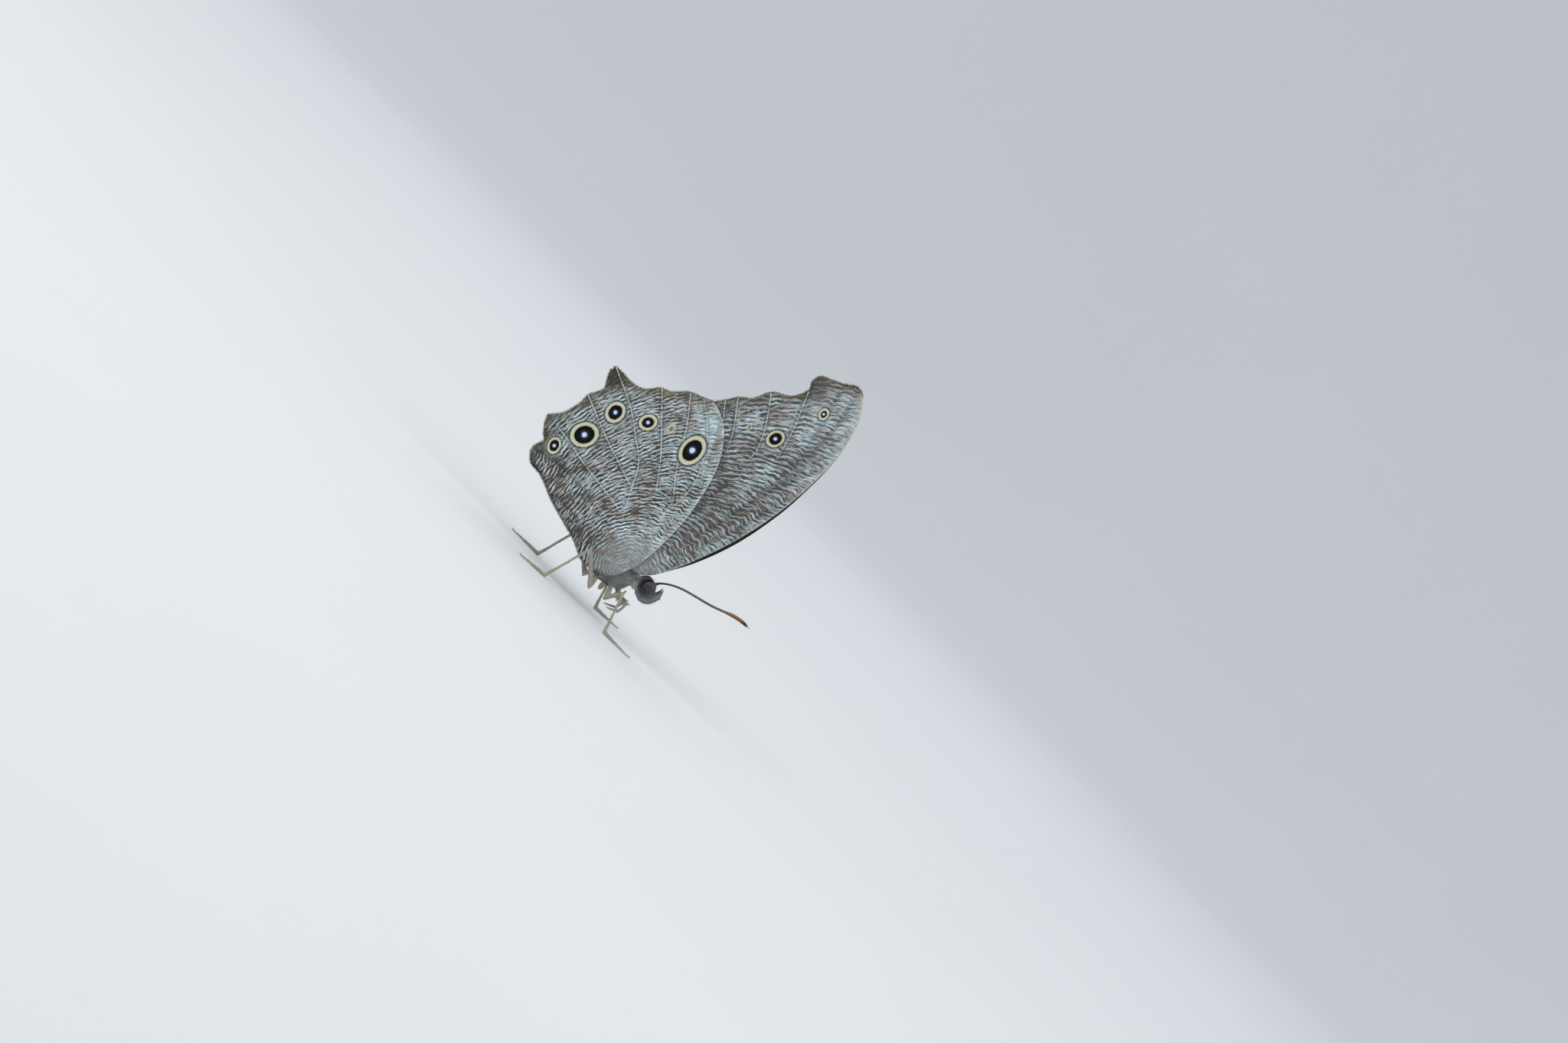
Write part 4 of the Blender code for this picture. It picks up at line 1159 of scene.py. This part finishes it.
def make_skin(flesh):
    """One closed skin over head, thorax, abdomen, palps and legs, inside the nodes by the coat's depth."""
    mesh = bpy.data.meshes.new("skin")
    swollen = [tuple(c + n * SKIN_BRIDGE) for c, n in zip(flesh.corners, flesh.normals)]
    mesh.from_pydata(swollen, [], flesh.faces)
    skin = add_object("skin", mesh)
    remesh(skin, SKIN_GRAIN, SKIN_SMOOTHING)
    places, _ = points_and_normals(skin.data)
    depth = np.array([depth_at(name, place) for name, place in zip(flesh.names_at(places), places)])
    moved_in(skin, smoothed(skin.data, depth, DEPTH_SMOOTHING) + SKIN_BRIDGE)
    remesh(skin, SKIN_LAST_GRAIN, SKIN_LAST_SMOOTHING)
    keep_largest(skin)
    places, normals = points_and_normals(skin.data)
    give_values(skin.data, "coat", coat_colours(flesh.names_at(places), places, normals), "FLOAT_COLOR")
    skin.data.transform(Matrix.Scale(MM, 4) @ Matrix.Translation(THORAX))
    skin.data.shade_smooth()
    bake_on_own_shape(skin)
    skin.data.materials.clear()
    skin.data.materials.append(coat_material("skin_scales", 0.00003))
    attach(skin, "root")
    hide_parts(*flesh.names)
    return skin


def points_and_normals(mesh):
    places = np.empty(len(mesh.vertices) * 3)
    normals = np.empty(len(mesh.vertices) * 3)
    mesh.vertices.foreach_get("co", places)
    mesh.vertices.foreach_get("normal", normals)
    return places.reshape(-1, 3), normals.reshape(-1, 3)


def coat_material(name, relief=None):
    """Soft scales or hair that take their colour from the points, with a relief where one is given."""
    graph = Graph(name, 0.75, 0.2)
    grain = graph.noise(graph.scaled(graph.own_place(), 1 / MM), 7.0, 3.0)
    if relief:
        graph.bump(grain, relief)
    return graph.done(graph.scaled(graph.attribute("coat", "Color"), grain * 0.5 + 0.75))


def between(first, second, share):
    """Colours from the first to the second as each share goes from 0 to 1."""
    share = np.clip(share, 0.0, 1.0)[:, None]
    return np.array(first) * (1 - share) + np.array(second) * share


def coat_colours(names, places, normals):
    """The coat's colour at each of many places, by the part of the body and the height on it."""
    kinds = np.array([kind_of(name) for name in names])
    x, _, z = places.T
    above = z - x * math.tan(BODY_PITCH)
    colours = between(THORAX_BELOW, THORAX_SIDE, (above + 2.0) / 1.6)
    colours = np.where((above > 0.9)[:, None], between(THORAX_SIDE, THORAX_TOP, (above - 0.9) / 0.8), colours)
    collar = np.exp(-((x + z * 0.25 - 3.55) / 0.28) ** 2)
    head = between(HEAD_SIDE, HEAD_TOP, (above - 0.5) / 0.7)
    head = head * (1 - collar[:, None]) + np.array(COLLAR) * collar[:, None]
    palp = between(PALP_PALE, PALP_DARK, (facing_edge(normals) - 0.25) / 0.45)
    abdomen = between(ABDOMEN_BELOW, ABDOMEN_TOP, (z - x * -0.21 + 0.9) / 1.6)
    leg = between(LEG_PALE, LEG_DARK, (normals[:, 2] + 0.3) / 1.2)
    for kind, shade in (("head", head), ("palp", palp), ("abdomen", abdomen)):
        colours = np.where((kinds == kind)[:, None], shade, colours)
    return np.where(np.char.endswith(kinds, "leg")[:, None], leg, colours)


def facing_edge(normals):
    """How much each of many normals on a palp faces its dark front edge."""
    return normals[:, 0] * 0.75 - normals[:, 2] * 0.66


def nearest_way(places, route):
    """The direction of the nearest stretch of a route for each of many places."""
    best = np.full(len(places), 1e9)
    ways = np.zeros((len(places), 3))
    for a, b in zip(route, route[1:]):
        a, step = np.array(a), np.array(b) - np.array(a)
        t = np.clip((places - a) @ step / (step @ step), 0.0, 1.0)
        away = np.linalg.norm(places - a - t[:, None] * step, axis=1)
        ways = np.where((away < best)[:, None], step / np.linalg.norm(step), ways)
        best = np.minimum(best, away)
    return ways


def mirrored(route, side):
    return [(x, y * side, z) for x, y, z in route]


def lie_of_coat(name, places, normals):
    """The direction in which the coat lies at each of many places on one node, along the surface."""
    kind = kind_of(name)
    if kind in ROUTES:
        ways = nearest_way(places, mirrored(ROUTES[kind], SIDES[name[-1]]))
    elif kind == "head":
        x, _, z = places.T
        crown = np.clip((x - 3.9) / 0.8, 0, 1)[:, None]
        ways = np.array(BACKWARDS) * (1 - crown) + np.array(CROWN_WAY) * crown
        face = np.clip((0.9 - z + (x - 5.0) * 0.3) / 0.7, 0, 1)[:, None]
        ways = ways * (1 - face) + np.array(FACE_WAY) * face
    else:
        ways = np.tile(np.array(ABDOMEN_WAY if kind == "abdomen" else BACKWARDS), (len(places), 1))
    return along_surface(ways, normals)


def along_surface(ways, normals):
    flat = ways - normals * np.sum(ways * normals, axis=1)[:, None]
    return flat / np.maximum(1e-6, np.linalg.norm(flat, axis=1))[:, None]


class Coat:
    """Tufts for one mesh. Each is a closed, tapered blade that rises from its root and bends back down.

    A blade has three rings of three points, at the shares of its length that are given here, and a tip.
    """

    SHARES = (0.0, 0.42, 0.8)
    # How each ring and the tip of a blade are darkened or lightened: painted shade at the root, painted light
    # toward the tip.
    SHADES = (0.85, 0.98, 1.08, 1.15)
    SWAY = 0.22
    DARKEST = 0.84
    PALEST = 1.16
    BEND = 0.55
    TIP_LIFT = 0.45
    ROOT_SINKS = 0.4
    TIP_SINKS = 0.3
    # The ten points of a tuft on the unwrap, about its root's place there
    IN_PATCH = np.array([(k - 1, j - 1) for j in range(3) for k in range(3)] + [(0, 1.4)]) * 0.0011

    def __init__(self, name, seed):
        self.name = name
        self.random = np.random.default_rng(seed)
        self.batches = []

    def vary(self, count, low, high):
        """Random values between two ends. None are drawn where the ends are the same."""
        if low == high:
            return np.full(count, low)
        return self.random.uniform(low, high, count)

    def add(self, roots, ways, normals, patches, colours, tuft):
        """Adds a tuft at each root. None reaches below the floor."""
        count = len(roots)
        ranges = (tuft.length, tuft.width, tuft.lift)
        length, width, lift = (self.vary(count, *ends)[:, None] for ends in ranges)
        thick = tuft.thick
        sway = self.vary(count, -self.SWAY, self.SWAY)[:, None]
        ways = unit(ways + np.cross(normals, ways) * sway)
        across = np.cross(normals, ways)
        rings = []
        for share, narrowing in zip(self.SHARES, tuft.taper):
            rise = lift * share - lift * self.BEND * share**2
            centre = roots + ways * length * share + normals * (length * rise - thick * self.ROOT_SINKS)
            reach = across * (width * narrowing / 2)
            rings += [centre + reach, centre + normals * thick * narrowing, centre - reach]
        tip = roots + ways * length + normals * (length * lift * self.TIP_LIFT - thick * self.TIP_SINKS)
        points = np.stack(rings + [tip], axis=1)
        # Painted shade at each blade's root and painted light at its tip, over a random tint.
        shade = np.repeat(self.SHADES, [3, 3, 3, 1])
        tints = self.vary(count, self.DARKEST, self.PALEST)[:, None, None] * shade[None, :, None]
        tints = np.concatenate((tints * colours[:, None, :3], np.ones((count, 10, 1))), axis=2)
        clear = points[:, :, 2].min(axis=1) > CLEAR_OF_FLOOR - THORAX.z
        self.batches.append((points[clear], tints[clear], (patches[:, None, :] + self.IN_PATCH)[clear]))

    def make(self, slot):
        """The piece with all tufts."""
        points, tints, flat = (np.concatenate(part) for part in zip(*self.batches))
        ring = [(k, (k + 1) % 3) for k in range(3)]
        shapes = [(j * 3 + a, j * 3 + b, j * 3 + 3 + b, j * 3 + 3 + a) for j in range(2) for a, b in ring]
        shapes += [(6 + a, 6 + b, 9) for a, b in ring] + [(2, 1, 0)]
        starts = np.arange(len(points))[:, None] * 10
        faces = [tuple(face) for shape in shapes for face in (starts + np.array(shape)).tolist()]
        mesh = new_piece(self.name, (), (), coat_material(self.name)).data
        mesh.from_pydata((points.reshape(-1, 3) + np.array(THORAX)) * MM, [], faces)
        mesh.shade_smooth()
        give_values(mesh, "coat", tints.reshape(-1, 4), "FLOAT_COLOR")
        give_unwrap(mesh, flat.reshape(-1, 2)[corner_points(mesh)])


class Roots:
    """Places on the skin from which the coat grows, with their normals and their places on its unwrap."""

    def __init__(self, skin, flesh):
        mesh = skin.data
        quads = [face for face in mesh.polygons if len(face.vertices) == 4]
        corners = np.array([tuple(face.vertices) for face in quads])
        loops = np.array([tuple(face.loop_indices) for face in quads])
        flat = np.empty(len(mesh.loops) * 2)
        mesh.uv_layers["OFBake"].data.foreach_get("uv", flat)
        places, normals = points_and_normals(mesh)
        self.random = np.random.default_rng(5)
        self.flat = flat.reshape(-1, 2)[loops]
        self.places = (places / MM - np.array(THORAX))[corners]
        self.normals = normals[corners]
        self.middles = self.places.mean(axis=1)
        self.names = np.array(flesh.names_at(self.middles))
        sides = self.places[:, 2] - self.places[:, 0], self.places[:, 3] - self.places[:, 1]
        self.areas = np.linalg.norm(np.cross(*sides), axis=1) / 2

    def pick(self, chosen, per_mm2, spacing):
        """Random roots on the chosen faces, no two closer together than the spacing."""
        numbers = np.flatnonzero(chosen)
        areas = self.areas[numbers]
        wanted = int(areas.sum() * per_mm2)
        drawn = self.random.choice(numbers, wanted, p=areas / areas.sum())
        shares = self.random.dirichlet((1, 1, 1, 1), wanted)[:, :, None]
        places = (self.places[drawn] * shares).sum(axis=1)
        first_in = {}
        for i, cell in enumerate(map(tuple, np.floor(places / spacing).astype(int).tolist())):
            first_in.setdefault(cell, i)
        keep = np.array(list(first_in.values()))
        normals = unit((self.normals[drawn] * shares).sum(axis=1)[keep])
        flat = (self.flat[drawn] * shares).sum(axis=1)[keep]
        return places[keep], normals, flat, self.names[drawn][keep]


def grown(name, seed, roots, *rows):
    """A coat that grows as each row says.

    A row gives the chosen faces, the tufts for each square millimetre, the space between them, their kind,
    a colour in place of the body's own or None, and a way to which they lean or None.
    """
    coat = Coat(name, seed)
    for chosen, per_mm2, spacing, tuft, tint, lean in rows:
        places, normals, flat, names = roots.pick(chosen, per_mm2, spacing)
        ways = np.zeros_like(places)
        for node in np.unique(names):
            here = names == node
            ways[here] = lie_of_coat(str(node), places[here], normals[here])
        if lean:
            ways = along_surface(ways + np.array(lean), normals)
        colours = coat_colours(names, places, normals)
        if tint:
            colours = np.tile(np.array(tint), (len(places), 1))
        coat.add(places, ways, normals, flat, colours, tuft)
    return coat


def make_coat(skin, flesh):
    """Hair on the thorax and head, scales on palps, abdomen and legs, each lying along the body."""
    roots = Roots(skin, flesh)
    kinds = np.array([kind_of(name) for name in roots.names])
    thorax, head, palp = kinds == "thorax", kinds == "head", kinds == "palp"
    walking = (kinds == "midleg") | (kinds == "hindleg")
    x, y, z = roots.middles.T
    front = thorax & (x > 1.7) & (x < 3.0) & (z > 0.8)
    crown = head & (z > 1.6) & (abs(y) < 0.9)
    collar = (abs(x + z * 0.25 - 3.5) < 0.3) & (head | thorax)
    palp_edge = palp & (facing_edge(roots.normals.mean(axis=1)) > 0.72)
    hair = grown(
        "thorax_hair", 11, roots,
        (thorax, 60, 0.13, THORAX_DOWN, None, None),
        (thorax & (z > -0.8), 14, 0.22, THORAX_LONG, None, None),
        (front, 70, 0.13, FRONT_HAIR, None, FRONT_LEAN))
    hair.make("body_hair")
    hair = grown(
        "head_hair", 12, roots,
        (head, 120, 0.1, HEAD_DOWN, None, None),
        (crown, 60, 0.14, CROWN_HAIR, None, None),
        (collar, 110, 0.1, COLLAR_HAIR, COLLAR, None),
        (palp, 160, 0.09, PALP_SCALE, None, None),
        (palp_edge, 130, 0.08, PALP_BRISTLE, PALP_DARK, None))
    hair.make("body_hair")
    scales = grown("abdomen_scales", 13, roots, (kinds == "abdomen", 70, 0.12, ABDOMEN_SCALE, None, None))
    scales.make("body_hair")
    scales = grown(
        "leg_scales", 14, roots,
        (walking, 110, 0.1, LEG_SCALE, None, None),
        (walking & (z < 0.5), 6, 0.3, LEG_BRISTLE, LEG_SPINE, None),
        (kinds == "foreleg", 100, 0.1, FORELEG_HAIR, None, None))
    add_claws(scales, roots)
    scales.make("leg")


def add_claws(coat, roots):
    """Two small dark claws at the end of each walking leg, spread and turned down."""
    upwards = np.array((0.0, 0.0, 1.0))
    for kind in ("midleg", "hindleg"):
        for label, side in SIDES.items():
            on_foot = np.flatnonzero(roots.names == f"{kind}_{label}")
            route = mirrored(ROUTES[kind], side)
            way = np.array(route[-1]) - np.array(route[-2])
            way /= np.linalg.norm(way)
            toe = on_foot[np.argmax(roots.middles[on_foot] @ way)]
            spread = np.cross(upwards, way) * CLAW_SPREAD
            root = roots.middles[toe] - way * CLAW_BACK + upwards * CLAW_RISE
            patch = roots.flat[toe].mean(axis=0)
            pairs = [np.tile(row, (2, 1)) for row in (root, upwards, patch, np.array(LEG_SPINE))]
            coat.add(pairs[0], unit(np.array([way + spread, way - spread])), *pairs[1:], CLAW)


def unwrapped(places, wing, side):
    """Where places of a wing's plane lie on an unwrap that holds all four wings, one in each quarter."""
    outline = array_of(outline_of(wing))
    low, high = outline.min(axis=0), outline.max(axis=0)
    quarter = np.array((0.5 if side > 0 else 0.0, 0.5 if wing.kind == "forewing" else 0.0))
    return quarter + UNWRAP_EDGE + 0.48 * (places - low) / (high - low)


def make_wing_hair():
    """A short fringe along the wings' margins, and soft hair that runs out over their roots."""
    fringe = Coat("wing_fringe", 15)
    soft = Coat("wing_root_hair", 16)
    for wing in (HINDWING, FOREWING):
        edge = array_of(stretch_of(wing, (FRINGE_FROM[wing.kind], wing.fringed[1]), FRINGE_STEP))
        along = unit(np.gradient(edge, axis=0))
        out = np.column_stack((-along[:, 1], along[:, 0]))
        outline = outline_of(wing)
        for side in SIDES.values():
            fringe_tufts(fringe, wing, side, edge - out * FRINGE_INSET, out)
            root_tufts(soft, wing, side, outline)
    fringe.make("wing")
    soft.make("body_hair")


def turned_with(ways, side, wing):
    """Directions in a wing's plane as directions in space, swung with a left wing."""
    turn = swing_of(wing, side)
    flat = array_of(turn @ Vector(way) for way in ways)
    return np.column_stack((flat[:, 0], np.zeros(len(flat)), flat[:, 1]))


def add_on_wing(coat, wing, side, places, out, height, colours, tuft):
    """Adds tufts at places of a wing's own plane, at a height over its middle surface."""
    gaps = from_lines(places, veins_of(wing))
    costas = distances(places, stretch_of(wing, wing.costa))
    normals = np.tile(np.array((0.0, side, 0.0)), (len(places), 1))
    roots = on_wing(places, gaps, costas, side, wing) + normals * height
    coat.add(roots, turned_with(out, side, wing), normals, unwrapped(places, wing, side), colours, tuft)


def fringe_tufts(coat, wing, side, edge, out):
    """Small blades that stand out from a wing's margin, darker at the ends of its veins."""
    paleness = coat.vary(len(edge), -0.2, 1.3) * np.clip(from_lines(edge, veins_of(wing)), 0.35, 1.0)
    add_on_wing(coat, wing, side, edge, out, 0.0, between(FRINGE_DARK, FRINGE_PALE, paleness), FRINGE)


def root_tufts(coat, wing, side, outline):
    """Soft hair on a wing's outer face near its root, thinning out along the wing."""
    bearing = coat.vary(ROOT_HAIR_TRIES, 0, 2 * math.pi)
    reach = ROOT_HAIR_REACH * np.sqrt(coat.vary(ROOT_HAIR_TRIES, 0, 1))
    places = np.array(wing.pivot) + np.column_stack((np.cos(bearing), np.sin(bearing))) * reach[:, None]
    thinning = coat.vary(ROOT_HAIR_TRIES, 0, 1) < 1.2 - reach / ROOT_HAIR_REACH
    keep = inside(places, outline) & thinning & (distances(places, outline + outline[:1]) > 0.05)
    places = places[keep]
    out = unit(places - np.array(ROOT_HAIR_FAN))
    colours = between(ROOT_HAIR_WARM, ROOT_HAIR, coat.vary(len(places), -0.2, 1.5))
    add_on_wing(coat, wing, side, places, out, WING_HALF, colours, ROOT_TUFT)


make_camera()
make_stage()
make_wings()
make_eyes()
make_antennae()
flesh = Flesh()
make_coat(make_skin(flesh), flesh)
make_wing_hair()
